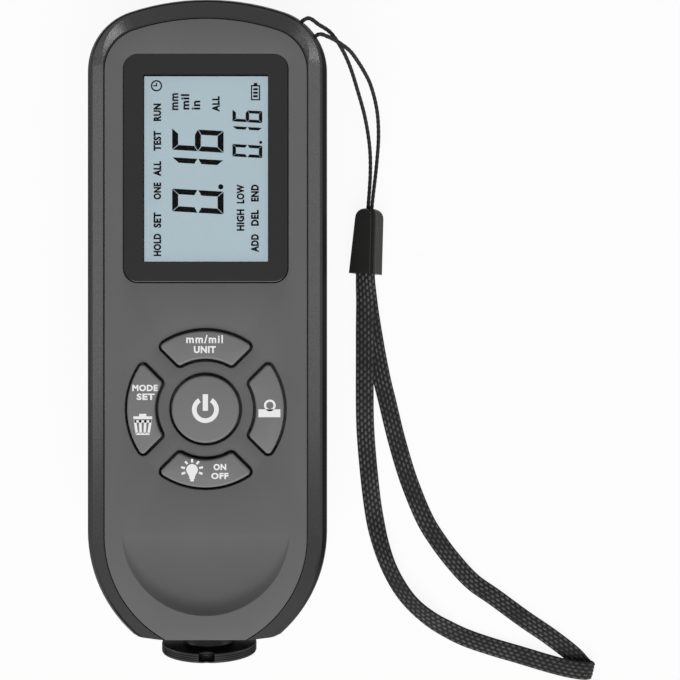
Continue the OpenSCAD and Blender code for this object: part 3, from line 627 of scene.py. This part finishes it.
def braid_route():
    """Points of the braid's centre line and the direction of its width at each.

    A row gives the place from the lock's mouth, the height in braid thicknesses, and the roll in degrees.
    """
    out = np.array([(0, -6, 2, 14), (0, -13, 1.58, 0), (0, -20, 1.56, 0), (0, -26, 1.4, 0), (.2, -34, .7, 0),
                    (1, -44, .52, 0), (2.1, -53, .54, 0), (3.3, -59, 1.05, 20), (5.3, -65, 1.26, 30),
                    (8, -70, 1.26, 30), (10.8, -73.5, 1.26, 30), (14.6, -76.7, 1.05, 20),
                    (18, -78.8, .75, 8), (22.4, -81, .54, 0), (28.2, -83, .6, 0), (34.6, -84.8, .9, 0),
                    (41.2, -86.6, 1.5, 0), (46, -87.7, 1.75, 0)])
    fold = np.array([(49.3, -88, 2), (50.4, -88.1, 1.3), (49.3, -87.6, .55)])
    back = np.array([(46.8, -85, .52, 0), (41.7, -81, .52, 0), (35.7, -76.9, .52, 0), (29, -72, .52, 0),
                     (24.2, -68.6, .52, 0), (19.9, -64, .52, 0), (16.5, -59.5, .52, 0), (13.7, -55, .52, 0),
                     (10, -46.1, .52, 0), (7.3, -37.2, .52, 0), (5.1, -28.2, .52, 0), (4, -23.7, .52, 0),
                     (2.3, -14.8, .52, 0), (.9, -6, .94, 14)])

    def laid(q):
        """Rows as points."""
        return np.column_stack([q[:, :2] + LOCK_AT, q[:, 2] * BRAID_T])

    up, sunk, fold_turn = 0.55 * BRAID_T, 5, math.radians(77)
    path = np.vstack([lock_point([(0, sunk, up), (0, 0, up)]), laid(out), laid(fold), laid(back),
                      lock_point([(0, 0, -up), (0, sunk, -up)])])
    n_out, n = len(out), len(path)
    k = np.arange(n)
    t = unit_rows(path[np.minimum(k + 1, n - 1)] - path[np.maximum(k - 1, 0)])
    flat = unit_rows(np.column_stack([-t[:, 1], t[:, 0], 0 * t[:, 0]]))
    roll = np.radians(np.concatenate([[0, 0], out[:, 3], [0, 0, 0], back[:, 3], [0, 0]]))
    # the way back shows the other face, so its width points the other way
    sign = np.where(k < n_out + 2, 1.0, -1.0)
    side = flat * (sign * np.cos(roll))[:, None] + np.array([0, 0, 1.0]) * np.sin(roll)[:, None]
    side[[0, 1, n - 2, n - 1]] = (lock_point((1, 0, 0)) - lock_point((0, 0, 0)))[0]
    side[n_out + 2:n_out + 5] = (math.cos(fold_turn), math.sin(fold_turn), 0)
    return path, side


def paint(obj, name, values):
    """Gives a piece a number at each of its points, for its material to read."""
    layer = obj.data.attributes.new(name, "FLOAT", "POINT")
    layer.data.foreach_set("value", values.ravel().astype(np.float32))


class GAUGE_OT_stage(bpy.types.Operator):
    """Camera straight above the gauge, soft lights and a pale floor"""
    bl_idname = "gauge.stage"
    bl_label = "Stage"

    def execute(self, context):
        st = context.scene.gauge_stage
        cam = bpy.data.objects.new("camera", bpy.data.cameras.new("camera"))
        cam.location = st.eye
        cam.data.lens, cam.data.sensor_width = st.lens, 36.0
        cam.data.shift_x = st.shift
        cam.data.clip_start, cam.data.clip_end = 0.01, 10.0
        context.scene.collection.objects.link(cam)
        context.scene.camera = cam
        context.scene.view_settings.view_transform = "Standard"

        world = bpy.data.worlds.new("room")
        context.scene.world = world
        world.use_nodes = True
        back = world.node_tree.nodes["Background"]
        back.inputs["Color"].default_value = (1, 1, 1, 1)
        world.node_tree.links.new(spread(world.node_tree, seen_ray(world.node_tree), st.world, 1.0, 0, 1),
                                  back.inputs["Strength"])

        def softbox(name, azimuth, elevation, distance, w, h, radiance):
            """Rectangular light of an even radiance that faces the object, placed by angles in degrees."""
            a, e = math.radians(azimuth), math.radians(elevation)
            lamp = bpy.data.lights.new(name, "AREA")
            lamp.shape, lamp.size, lamp.size_y = "RECTANGLE", w, h
            lamp.energy = radiance * math.pi * w * h
            obj = bpy.data.objects.new(name, lamp)
            across = math.cos(e)
            obj.location = distance * Vector((across * math.cos(a), across * math.sin(a), math.sin(e)))
            obj.rotation_mode = "QUATERNION"
            obj.rotation_quaternion = (-obj.location).to_track_quat("-Z", "Y")
            context.scene.collection.objects.link(obj)
            return obj

        softbox("key_softbox", 270, 46, 2.4, 2.4, 1.8, st.key)
        softbox("left_softbox", 174, 9, 1.1, 0.5, 0.3, st.side)
        softbox("right_softbox", 6, 12, 1.1, 0.5, 0.3, st.side)
        # narrow cards that only draw a sheen on the round corners
        softbox("left_corner_card", 137, 13, 1.1, 0.7, 0.1, st.corner).visible_diffuse = False
        softbox("right_corner_card", 41, 13, 1.1, 0.7, 0.1, st.corner).visible_diffuse = False

        mat, tree, bsdf = shader("pale_floor")
        cloud = object_noise(tree, 6.0, 2.0)
        c = np.array(st.floor)
        tree.links.new(shades(tree, cloud, c * 0.99, c), bsdf.inputs["Base Color"])
        bsdf.inputs["Roughness"].default_value = 0.9
        bsdf.inputs["Specular IOR Level"].default_value = 0.1
        glow = tree.nodes.new("ShaderNodeEmission")
        mix = tree.nodes.new("ShaderNodeMixShader")
        tree.links.new(spread(tree, seen_ray(tree), 0.0, 0.92, 0, 1), mix.inputs["Fac"])
        tree.links.new(bsdf.outputs["BSDF"], mix.inputs[1])
        tree.links.new(glow.outputs["Emission"], mix.inputs[2])
        tree.links.new(mix.outputs["Shader"], tree.nodes["Material Output"].inputs["Surface"])
        n = 3
        reach = np.linspace(-3.0, 3.0, n)
        x, y = np.meshgrid(reach, reach)
        mesh = bpy.data.meshes.new("floor")
        mesh.from_pydata(np.stack([x, y, 0 * x], -1).reshape(-1, 3).tolist(), [],
                         skin(n, n, wrap_cols=False).tolist())
        mesh.materials.append(mat)
        floor = bpy.data.objects.new("floor", mesh)
        context.scene.collection.objects.link(floor)
        return {"FINISHED"}


class GAUGE_OT_strap(bpy.types.Operator):
    """Twisted cord, flat braid and the lock that joins them"""
    bl_idname = "gauge.strap"
    bl_label = "Wrist strap"

    def execute(self, context):
        fin, shp = context.scene.gauge_finish, context.scene.gauge_shape
        # the second colour of each yarn is a painted highlight on raised strands and plaits
        yarn = woven("cord_yarn", np.array(fin.strap) * 0.8, tone(46), "height")
        web = woven("braid_yarn", np.array(fin.strap) * 0.6, tone(98), "height")
        shell = moulded("lock_plastic", fin.lock, (0.18, 0.26), 3500.0, 0.000005, 0.06,
                        specular=0.3, graze=0.03)

        # tube whose radius swells with two strands that wind once in each lay length
        path = smooth_path(cord_route(), 0.3)
        t, s = tangents(path), run(path)
        a = unit_rows(np.cross(t, (0, 0, 1)))
        b = np.cross(t, a)
        n = 14
        phi = np.arange(n) * 2 * np.pi / n
        swell = np.cos(2 * (phi[None, :] - 2 * np.pi * s[:, None] / shp.twist))
        r = CORD_D / 2 * (0.9 + 0.06 * swell)
        spoke = np.cos(phi)[None, :, None] * a[:, None] - np.sin(phi)[None, :, None] * b[:, None]
        tube = path[:, None] + r[..., None] * spoke
        cord = piece("strap_cord_twist", tube.reshape(-1, 3), capped(*r.shape, flip=True), [yarn], "case",
                     ["strap_cord"], sharp=None)
        # painted highlight on the crowns of the cord's strands
        paint(cord, "height", 0.5 + 0.5 * swell)

        # flat tube with plaits: ridges side by side, each broken into stitches that are staggered from one
        # ridge to the next; its section is a round-cornered oval, with more points on the upper face
        points, side = braid_route()
        both = smooth_path(np.hstack([points, side]), 0.25)
        path, t = both[:, :3], tangents(both[:, :3])
        side = both[:, 3:]
        side = unit_rows(side - (side * t).sum(1, keepdims=True) * t)
        up = np.cross(side, t)
        s = run(path)
        upper, lower, power = 49, 23, 3.2
        u = np.concatenate([np.linspace(1, -1, upper), np.linspace(-1, 1, lower)[1:-1]])
        cz = np.where(np.arange(len(u)) < upper, 1, -1) * (1 - np.abs(u) ** power) ** (1 / power)
        across, thick = u * BRAID_W / 2, cz * (BRAID_T / 2 - shp.plait * 0.5)
        column = np.round(across / shp.column)
        ridge = np.cos(np.pi * (across / shp.column - column))[None, :] ** 4
        along = np.cos(2 * np.pi * (s[:, None] / shp.stitch + 0.5 * column[None, :]))
        bump = ridge * np.clip(0.5 + 0.8 * along, 0, 1)
        lift = np.sign(cz) * np.abs(cz) ** 0.4 * shp.plait * (bump - 0.45)
        flat = path[:, None] + across[None, :, None] * side[:, None]
        flat += (thick[None, :] + lift)[..., None] * up[:, None]
        # no point goes into what the strap lies on
        flat[..., 2] = np.maximum(flat[..., 2], 0.02)
        braid = piece("strap_braid_plait", flat.reshape(-1, 3), capped(*bump.shape, flip=True), [web],
                      "case", ["strap_braid"], sharp=None)
        # painted highlight on the raised plaits
        paint(braid, "height", bump)

        # lock: round-cornered sections from inside the flared mouth, round its edge and up to the rounded end;
        # the sides taper, and width and thickness draw in along a quarter round over the nose
        y = np.array([3.0, 0.0, 0.0, 0.2, 1.0, 2.5, 5.0, 8.0, 10.5, 12.2, 12.9, 13.4, 13.8, 14.1, 14.3,
                      LOCK_L])
        nose, taper = 2.0, 0.7
        q = np.clip((y - (LOCK_L - nose)) / nose, 0, 1)
        drawn = 1 - np.sqrt(1 - 0.999 * q ** 2)
        w = LOCK_W / 2 - taper * np.clip(y / LOCK_L, 0, 1) - 1.7 * drawn
        d = LOCK_T / 2 - 0.9 * drawn
        inside = np.arange(len(y)) < 2
        w = np.where(inside, BRAID_W / 2 + 0.1, w)
        d = np.where(inside, BRAID_T + 0.15, d)
        c = np.where(inside, 0.2, 0.42)
        # each section: right upper corner, a groove beside it, then three plain corners
        a = np.linspace(0, np.pi / 2, 7)
        groove = np.array([(-0.5, 0), (-0.62, -0.16), (-0.78, -0.16), (-0.92, 0)])
        cs = np.array([(1, 1), (-1, 1), (-1, -1), (1, -1)])
        parts = []
        for k in range(4):
            ang = a + k * np.pi / 2
            parts.append(np.stack([cs[k, 0] * (w - c)[:, None] + c[:, None] * np.cos(ang),
                                   cs[k, 1] * (d - c)[:, None] + c[:, None] * np.sin(ang)], -1))
            if k == 0:
                cut = np.where(inside, 0.0, 1.0)[:, None]
                parts.append(np.stack([(w - c)[:, None] + groove[:, 0], d[:, None] + groove[:, 1] * cut], -1))
        section = np.concatenate(parts, 1)
        sx, sz = section[..., 0], section[..., 1]
        local = np.stack([sx, np.broadcast_to(y[:, None], sx.shape), sz], -1).reshape(-1, 3)
        piece("strap_lock_shell", lock_point(local), capped(*sx.shape, flip=True), [shell], "case",
              ["strap_lock"])
        return {"FINISHED"}


class GAUGE_OT_case(bpy.types.Operator):
    """Finishes of the case and the pieces inside"""
    bl_idname = "gauge.case"
    bl_label = "Case"

    def execute(self, context):
        fin = context.scene.gauge_finish
        case = moulded("case_plastic", fin.case, (0.2, 0.29), 2600.0, 0.000008, 0.05,
                       specular=0.37, graze=0.003)
        black = moulded("black_plastic", tone(24), (0.4, 0.55), 2500.0, 0.00001, 0.08)
        white = moulded("white_plastic", tone(225), (0.4, 0.5), 2500.0, 0.000008, 0.02)
        board = moulded("board_laminate", tone(24, 84, 52), (0.35, 0.5), 1800.0, 0.00001, 0.2)
        rubber = moulded("mat_rubber", tone(70), (0.7, 0.85), 2500.0, 0.00001, 0.05)
        lead = moulded("lead_rubber", tone(28), (0.5, 0.65), 2500.0, 0.00001, 0.05)
        jacket = moulded("cell_jacket", tone(150, 112, 48), (0.25, 0.35), 900.0, 0.000006, 0.08)
        wire = brushed("coil_wire", tone(196, 120, 72), 0.35)
        steel = brushed("steel", tone(190), 0.3)
        display = moulded("display_glass", fin.display, (0.3, 0.36), 1500.0, 0.000002, 0.012, specular=0.3)
        for mat, nodes in ((case, ("front_shell", "rear_shell", "battery_cover")),
                           (black, ("probe_barrel", "barrel_cap", "board_parts")),
                           (white, ("backlight_panel", "lcd_holder")), (board, ("main_board",)),
                           (rubber, ("keypad_mat",)), (lead, ("probe_lead",)), (jacket, ("battery_cells",)),
                           (wire, ("probe_coil",)), (display, ("lcd_glass",)),
                           (steel, ("board_screws", "probe_core", "probe_clip", "battery_contacts"))):
            for node in nodes:
                finish_node(node, mat)
        return {"FINISHED"}


class GAUGE_OT_face(bpy.types.Operator):
    """Face panel with softened edges and the thumb dish"""
    bl_idname = "gauge.face"
    bl_label = "Face panel"

    def execute(self, context):
        fin, shp = context.scene.gauge_finish, context.scene.gauge_shape
        # the panel's colour holds painted shade that darkens the thumb dish by up to 28 percent
        mat = moulded("panel_plastic", fin.panel, (0.55, 0.68), 4200.0, 0.00001, 0.03,
                      specular=0.2, painted_shade=0.28)
        # dish: polar grid whose depth is the soft minimum of a floor that falls away from the straight edge
        # and a wall whose steepness grows towards the rim
        phi = np.linspace(np.pi, 2 * np.pi, 97)
        r = DISH_R * (1 - (1 - np.linspace(0, 1, 49)[1:]) ** 1.35)
        x, t = r[:, None] * np.cos(phi), np.abs(r[:, None] * np.sin(phi))
        away = DISH_R - r[:, None]
        wide, bow, soft, ease, least = 8.0, 0.46, 0.6, 2.4, 1e-5
        near = np.minimum(away, wide)
        wall = shp.dish_rim * (near - bow * near ** 2 / wide + (1 - 2 * bow) * (away - near))
        floor = shp.dish_slope * (np.sqrt(t ** 2 + soft) - math.sqrt(soft))
        deep = (np.maximum(floor, least) ** -ease + np.maximum(wall, least) ** -ease) ** (-1 / ease)
        deep[-1], deep[:, 0], deep[:, -1] = 0, 0, 0
        rows, cols = x.shape
        dish = np.vstack([[(0, DISH_Y, FACE_Z)], np.stack([x, DISH_Y - t, FACE_Z - deep], -1).reshape(-1, 3)])
        index = 1 + np.arange(rows * cols).reshape(rows, cols)
        fan = np.stack([np.zeros(cols - 1, int), index[0, :-1], index[0, 1:]], -1)
        dish_faces = fan.tolist() + (1 + skin(rows, cols, wrap_cols=False))[:, ::-1].tolist()
        border = np.concatenate([index[::-1, 0], [0], index[:, -1], index[-1, -2:0:-1]])

        def openings(g):
            """Outlines of the window and the keys, grown by g."""
            key = key_outline(g)
            turned = [key, key[:, ::-1] * (-1, 1), -key, key[:, ::-1] * (1, -1)]
            wide = 0.1 + g
            window = round_rect(WINDOW_W + 2 * wide, WINDOW_L + 2 * wide, WINDOW_R + wide)
            return [window + (0, WINDOW_Y), circle(POWER_R + g) + (0, KEY_Y)] + [k + (0, KEY_Y) for k in turned]

        # edges: quarter rounds from the upper face to the walls, then straight down
        e, a = 0.14, np.linspace(np.pi / 2, 0, 4)
        levels = [(e * (1 - np.cos(k)), FACE_Z - e + e * np.sin(k)) for k in a] + [(0.0, PANEL_Z)]
        rings = [[panel_outline(g)] + openings(g) for g, z in levels]
        verts, faces, base = [dish], list(dish_faces), len(dish)
        first = {}
        for level, (loops, (g, z)) in enumerate(zip(rings, levels)):
            for k, loop in enumerate(loops):
                first[level, k] = base
                verts.append(np.column_stack([loop, np.full(len(loop), z)]))
                base += len(loop)
        for level in range(len(levels) - 1):
            for k, loop in enumerate(rings[0]):
                n = len(loop)
                q = skin(2, n)
                q = np.where(q < n, q + first[level, k], q - n + first[level + 1, k])
                faces += (q[:, ::-1] if k == 0 else q).tolist()
        own = np.concatenate([first[0, k] + np.arange(len(q)) for k, q in enumerate(rings[0])] + [border])
        faces += own[filled(rings[0] + [dish[border, :2]])].tolist()

        # underside, with the boss below the dish
        boss_r = DISH_R + 1
        over = math.asin(1 / boss_r)
        arc = np.linspace(np.pi - over, 2 * np.pi + over, 60)
        boss = boss_r * np.stack([np.cos(arc), np.sin(arc)], -1) + (0, DISH_Y)
        n, last = len(boss), len(levels) - 1
        verts += [np.column_stack([boss, np.full(n, PANEL_Z)]), np.column_stack([boss, np.full(n, BOSS_Z)])]
        q = skin(2, n)
        faces += (q[:, ::-1] + base).tolist() + [(base + n + np.arange(n))[::-1].tolist()]
        own = [first[last, k] + np.arange(len(q)) for k, q in enumerate(rings[last])]
        own = np.concatenate(own + [base + np.arange(n)])
        faces += own[filled(rings[last] + [boss])][:, ::-1].tolist()
        panel = piece("face_panel_skin", np.vstack(verts), faces, [mat], "case",
                      ["face_panel"], sharp=24)
        # painted shade: darker where the dish is deeper, as the square root of its depth
        painted_shade = np.zeros(len(panel.data.vertices))
        painted_shade[1:len(dish)] = np.sqrt(deep.ravel() / deep.max())
        paint(panel, "painted_shade", painted_shade)
        return {"FINISHED"}


class GAUGE_OT_display(bpy.types.Operator):
    """Bordered window and the marks on the display"""
    bl_idname = "gauge.display"
    bl_label = "Display"

    def execute(self, context):
        fin, shp = context.scene.gauge_finish, context.scene.gauge_shape
        border = moulded("window_border", fin.border, (0.16, 0.22), 700.0, 0.0000015, 0.04, specular=0.37)
        mat, tree, bsdf = shader("window_pane")
        haze = object_noise(tree, 160.0, 2.0)
        tree.links.new(spread(tree, haze, 0.04, 0.1), bsdf.inputs["Roughness"])
        bsdf.inputs["Base Color"].default_value = (*tone(60), 1)
        bsdf.inputs["Alpha"].default_value = 0.012

        # plate: loops from the clear field's lower edge round the outside to its upper edge
        z0, z1 = WINDOW_Z
        e = 0.3
        a = np.linspace(0, np.pi / 2, 5)
        inset = np.concatenate([[0], e * (1 - np.cos(a))])
        z = np.concatenate([[z0], z1 - e + e * np.sin(a)])
        loops = np.stack([round_rect(WINDOW_W - 2 * k, WINDOW_L - 2 * k, WINDOW_R - k) for k in inset])
        view = round_rect(shp.view_w, shp.view_l, 0.15)
        loops = np.concatenate([view[None], loops, view[None]])
        z = np.concatenate([[z0], z, [z1]])
        m, n = loops.shape[:2]
        verts = np.column_stack([loops.reshape(-1, 2), np.repeat(z, n)])
        verts[:, 1] += WINDOW_Y
        faces = capped(m, n)
        plate = piece("display_window_plate", verts, faces, [border, mat], "case",
                      ["display_window"], [0] * (len(faces) - 2) + [1, 1], sharp=30)
        plate.visible_shadow = False

        ink = moulded("display_mark", fin.mark, (0.4, 0.5), 2000.0, 0.000001, 0.1, specular=0.05)
        p = Print()
        for text, y0, y1 in (("HOLD", 14.8, 19.3), ("SET", 20.5, 23.6), ("ONE", 26.2, 29.6),
                             ("ALL", 30.9, 33.9), ("TEST", 36.0, 40.0), ("RUN", 42.0, 45.5)):
            p.word(text, -10.6, y0, -9.05, y1, True)
        p.ring(-10.0, 49.1, 1.0, 0.26)
        p.stroke(-10.0, 49.1, -10.7, 49.1, 0.22)
        p.stroke(-10.0, 49.0, -10.0, 49.7, 0.22)
        for value, y0, y1 in ((0, 23.5, 28.1), (1, 30.0, 34.4), (6, 35.9, 40.3)):
            p.digit(value, 3.54, -6.86, y0, y1)
        p.poly(circle(0.52, 20) + (2.95, 28.75))
        for value, y0, y1 in ((0, 34.7, 37.2), (1, 38.4, 40.8), (6, 41.75, 44.15)):
            p.digit(value, 11.33, 5.29, y0, y1)
        p.poly(circle(0.3, 16) + (11.0, 37.7))
        for text, x0, x1, y0, y1 in (("mm", -6.85, -5.6, 44.2, 47.6), ("mil", -5.1, -3.4, 44.3, 47.4),
                                     ("in", -2.9, -1.2, 44.3, 46.1), ("ALL", 1.22, 2.72, 43.9, 47.0),
                                     ("HIGH", 6.15, 7.7, 19.9, 24.2), ("LOW", 6.15, 7.7, 25.4, 29.2),
                                     ("ADD", 9.05, 10.6, 15.6, 19.2), ("DEL", 9.05, 10.6, 20.9, 24.1),
                                     ("END", 9.05, 10.6, 25.8, 29.2)):
            p.word(text, x0, y0, x1, y1, True, THIN if text.islower() else BOLD)
        for x in (9.15, 10.75):
            p.bar(x - 0.12, 46.2, x + 0.12, 49.2)
        for y in (46.3, 49.1):
            p.bar(9.05, y - 0.12, 10.85, y + 0.12)
        p.bar(9.6, 49.2, 10.3, 49.65)
        for y in (47.0, 47.7, 48.4):
            p.bar(9.5, y - 0.2, 10.4, y + 0.2)
        p.build("display_marks", GLASS_TOP + 0.02, ink, "case")
        return {"FINISHED"}


class GAUGE_OT_keys(bpy.types.Operator):
    """Round key, four ring keys and their print"""
    bl_idname = "gauge.keys"
    bl_label = "Keys"

    def execute(self, context):
        fin, shp = context.scene.gauge_finish, context.scene.gauge_shape
        cap = moulded("key_plastic", fin.keys, (0.42, 0.55), 3800.0, 0.00001, 0.04, specular=0.45)
        ink = moulded("key_print", fin.ink, (0.45, 0.6), 5000.0, 0.000002, 0.02)
        key_cap("power_key", lambda g: circle(POWER_R + g), 0.0, shp.key_round, cap)
        for k, name in enumerate(("unit_key", "mode_key", "light_key", "zero_key")):
            key_cap(name, key_outline, k * math.pi / 2, shp.key_round, cap)
        z = KEY_TOP + 0.005

        p = Print()
        p.ring(0, KEY_Y - 0.05, 2.2, 0.94, 122, 418, 60)
        p.bar(-0.53, KEY_Y - 0.3, 0.53, KEY_Y + 3.0)
        p.build("power_print", z, ink, "power_key")

        p = Print()
        p.word("mm/mil", -3.8, -2.75, 3.5, -1.1, bold=THIN, gap=1.2)
        p.word("UNIT", -2.3, -4.72, 2.1, -3.3)
        p.build("unit_print", z, ink, "unit_key")

        p = Print()
        p.word("MODE", -14.55, -12.3, -9.5, -11.0)
        p.word("SET", -13.7, -14.05, -10.1, -12.75)
        p.bar(-14.35, -17.85, -10.6, -17.3)
        p.bar(-13.2, -17.3, -11.75, -16.8)
        for k in (-1.35, -0.45, 0.45, 1.35):
            p.stroke(-12.48 + 1.16 * k, -18.1, -12.48 + 0.86 * k, -20.7, 0.5)
        p.poly([(-14.2, -18.55), (-14.15, -18.1), (-10.8, -18.1), (-10.76, -18.55)])
        p.bar(-13.85, -21.0, -11.1, -20.55)
        p.build("mode_print", z, ink, "mode_key")

        p = Print()
        p.ring(12.84, -15.12, 0.95, 0.44)
        p.bar(10.57, -17.47, 14.93, -15.9)
        p.build("zero_print", z, ink, "zero_key")

        p = Print()
        a = np.radians(np.linspace(-40, 220, 30))
        bulb = np.stack([-2.65 + 1.15 * np.cos(a), -27.95 + 1.15 * np.sin(a)], -1)
        p.poly(np.vstack([bulb, [(-3.2, -29.3), (-3.2, -29.75), (-2.1, -29.75), (-2.1, -29.3)]]))
        p.bar(-3.0, -30.25, -2.3, -29.75)
        for a in (-22, 14, 52, 90, 128, 166, 202):
            c, s = math.cos(math.radians(a)), math.sin(math.radians(a))
            p.stroke(-2.65 + 1.45 * c, -27.95 + 1.45 * s, -2.65 + 2.25 * c, -27.95 + 2.15 * s, 0.44)
        p.word("ON", 1.6, -28.05, 4.15, -26.75)
        p.word("OFF", 1.15, -29.8, 4.6, -28.55)
        p.build("light_print", z, ink, "light_key")
        return {"FINISHED"}


class GAUGE_OT_probe(bpy.types.Operator):
    """Probe end with its notched flange, and the spring behind it"""
    bl_idname = "gauge.probe"
    bl_label = "Probe"

    def execute(self, context):
        mat = moulded("probe_plastic", context.scene.gauge_finish.probe, (0.35, 0.5), 2600.0, 0.00001, 0.06,
                      specular=0.35, graze=0.03)
        notch_r, notch_d, lip, n_arc, n_cut = 1.6, 1.7, 0.25, 60, 13

        def flange(g, depth=notch_d):
            """Outline of the flange inset by g: two arcs and two round-bottomed notches, counter-clockwise.

            A notch is a circle about zc, and meets the flange's own circle at the height top.
            """
            r, w = FLANGE_R - g, notch_r + g
            zc = FLANGE_R - depth + notch_r
            top = (r * r - w * w + zc * zc) / (2 * zc)
            half = math.acos(top / r)
            arc = np.linspace(-np.pi / 2 + half, np.pi / 2 - half, n_arc)
            right = r * np.stack([np.cos(arc), np.sin(arc)], -1)
            start = math.asin((top - zc) / w)
            cut = np.linspace(start, -np.pi - start, n_cut + 2)[1:-1]
            notch = np.stack([w * np.cos(cut), zc + w * np.sin(cut)], -1)
            half_loop = np.vstack([right, notch])
            return np.vstack([half_loop, -half_loop])

        def ring(r):
            """Circle with its points at the flange outline's angles."""
            return r * unit_rows(flange(0))

        # loops and their distance from the front: bore, front with its lip, three ridges, neck and inside
        rows = [(ring(2.52), 3.0), (ring(2.52), 0.0), (flange(0.3, lip), 0.0), (flange(0.09, lip), 0.09),
                (flange(0, lip), 0.3), (flange(0), 0.34)]
        for y in (0.55, 0.95, 1.35):
            rows += [(flange(0), y), (flange(0.15), y + 0.06), (flange(0.15), y + 0.14), (flange(0), y + 0.2)]
        rows += [(flange(0), 1.7), (flange(0.09), 1.91), (flange(0.3), 2.0), (ring(5.7), 2.0),
                 (ring(5.3), 2.15), (ring(5.2), 2.5), (ring(5.2), 18.3), (ring(5.0), 18.5), (ring(4.2), 18.5),
                 (ring(4.2), 3.0)]
        loops = np.stack([r[0] for r in rows])
        y = PROBE_Y + np.array([r[1] for r in rows])
        m, n = loops.shape[:2]
        verts = np.stack([loops[..., 0], np.broadcast_to(y[:, None], (m, n)), PROBE_Z + loops[..., 1]], -1)
        faces = skin(m, n, wrap_rows=True)[:, ::-1]
        piece("probe_plunger_body", verts.reshape(-1, 3), faces.tolist(), [mat], "probe",
              ["probe_plunger"], sharp=28)

        # spring: round wire on a helix about the probe's axis, wound closer at both ends, which gives way to
        # the probe
        lo, hi = (np.array(corner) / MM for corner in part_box("probe_spring"))
        wire, turns, travel, crowd = 0.35, 6, 3.0, 0.07
        t = np.linspace(0, 1, 241)[:, None]
        s = np.arange(12) * np.pi / 6
        reach = (hi[0] - lo[0]) / 2 - wire + wire * np.cos(s)
        a = 2 * np.pi * turns * t
        rise = (hi[1] - lo[1] - 2 * wire) * (t - crowd * np.sin(2 * np.pi * t))
        y = lo[1] + wire + rise + wire * np.sin(s)
        verts = np.stack([reach * np.cos(a), y, PROBE_Z + reach * np.sin(a)], -1).reshape(-1, 3)
        spring = piece("probe_spring_wire", verts, capped(*y.shape), [brushed("spring_steel", tone(165), 0.3)],
                       "case", ["probe_spring"])
        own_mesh(spring)
        return {"FINISHED"}


class GAUGE_OT_screws(bpy.types.Operator):
    """Case screws with a cross recess in each head"""
    bl_idname = "gauge.screws"
    bl_label = "Case screws"

    def execute(self, context):
        mat = brushed("screw_steel", tone(150), 0.35)
        # turned profile from the middle of the head out, round its edge and along the shank; the head's face is
        # sunk where a point lies within either arm of the cross
        n, top, slot, length, depth = 72, 18, 0.3, 1.15, 0.75
        ang = np.arange(n) * 2 * np.pi / n
        r = np.concatenate([np.linspace(0.06, 1.7, top), [1.84, 1.9, 1.9, 1.0, 1.0]])
        z = np.concatenate([np.full(top, 2.6), [2.63, 2.75, 4.0, 4.0, 21.2]])
        x, y = r[:, None] * np.cos(ang), r[:, None] * np.sin(ang)
        arm = np.minimum(np.maximum(np.abs(x) / slot, np.abs(y) / length),
                         np.maximum(np.abs(y) / slot, np.abs(x) / length))
        sunk = depth * np.clip((1.15 - arm) / 0.3, 0, 1) * (np.arange(len(r)) < top)[:, None]
        one = np.stack([x, y, z[:, None] + sunk], -1).reshape(-1, 3)
        verts, faces = [], []
        for k, (sx, sy) in enumerate(CASE_SCREWS):
            verts.append(one + (sx, sy, 0))
            faces += [[v + k * len(one) for v in f] for f in capped(*x.shape)]
        piece("case_screw_heads", np.vstack(verts), faces, [mat], "case", ["case_screws"])
        return {"FINISHED"}


class GAUGE_PT_panel(bpy.types.Panel):
    """Steps that build the gauge"""
    bl_idname = "GAUGE_PT_panel"
    bl_label = "Coating thickness gauge"
    bl_space_type = "VIEW_3D"
    bl_region_type = "UI"
    bl_category = "Gauge"

    def draw(self, context):
        for step in STEPS:
            self.layout.operator(step.bl_idname)


STEPS = (GAUGE_OT_stage, GAUGE_OT_strap, GAUGE_OT_case, GAUGE_OT_face, GAUGE_OT_display, GAUGE_OT_keys,
         GAUGE_OT_probe, GAUGE_OT_screws)
CLASSES = (GaugeFinish, GaugeShape, GaugeStage, *STEPS, GAUGE_PT_panel)


def register():
    """Registers the classes and hangs the three groups of values on the scene."""
    for cls in CLASSES:
        bpy.utils.register_class(cls)
    bpy.types.Scene.gauge_finish = PointerProperty(type=GaugeFinish)
    bpy.types.Scene.gauge_shape = PointerProperty(type=GaugeShape)
    bpy.types.Scene.gauge_stage = PointerProperty(type=GaugeStage)


def unregister():
    """Takes both away again."""
    del bpy.types.Scene.gauge_finish, bpy.types.Scene.gauge_shape, bpy.types.Scene.gauge_stage
    for cls in reversed(CLASSES):
        bpy.utils.unregister_class(cls)


def main():
    """Builds every piece in order."""
    register()
    bpy.ops.gauge.stage()
    bpy.ops.gauge.strap()
    bpy.ops.gauge.case()
    bpy.ops.gauge.face()
    bpy.ops.gauge.display()
    bpy.ops.gauge.keys()
    bpy.ops.gauge.probe()
    bpy.ops.gauge.screws()


if __name__ == "__main__":
    main()
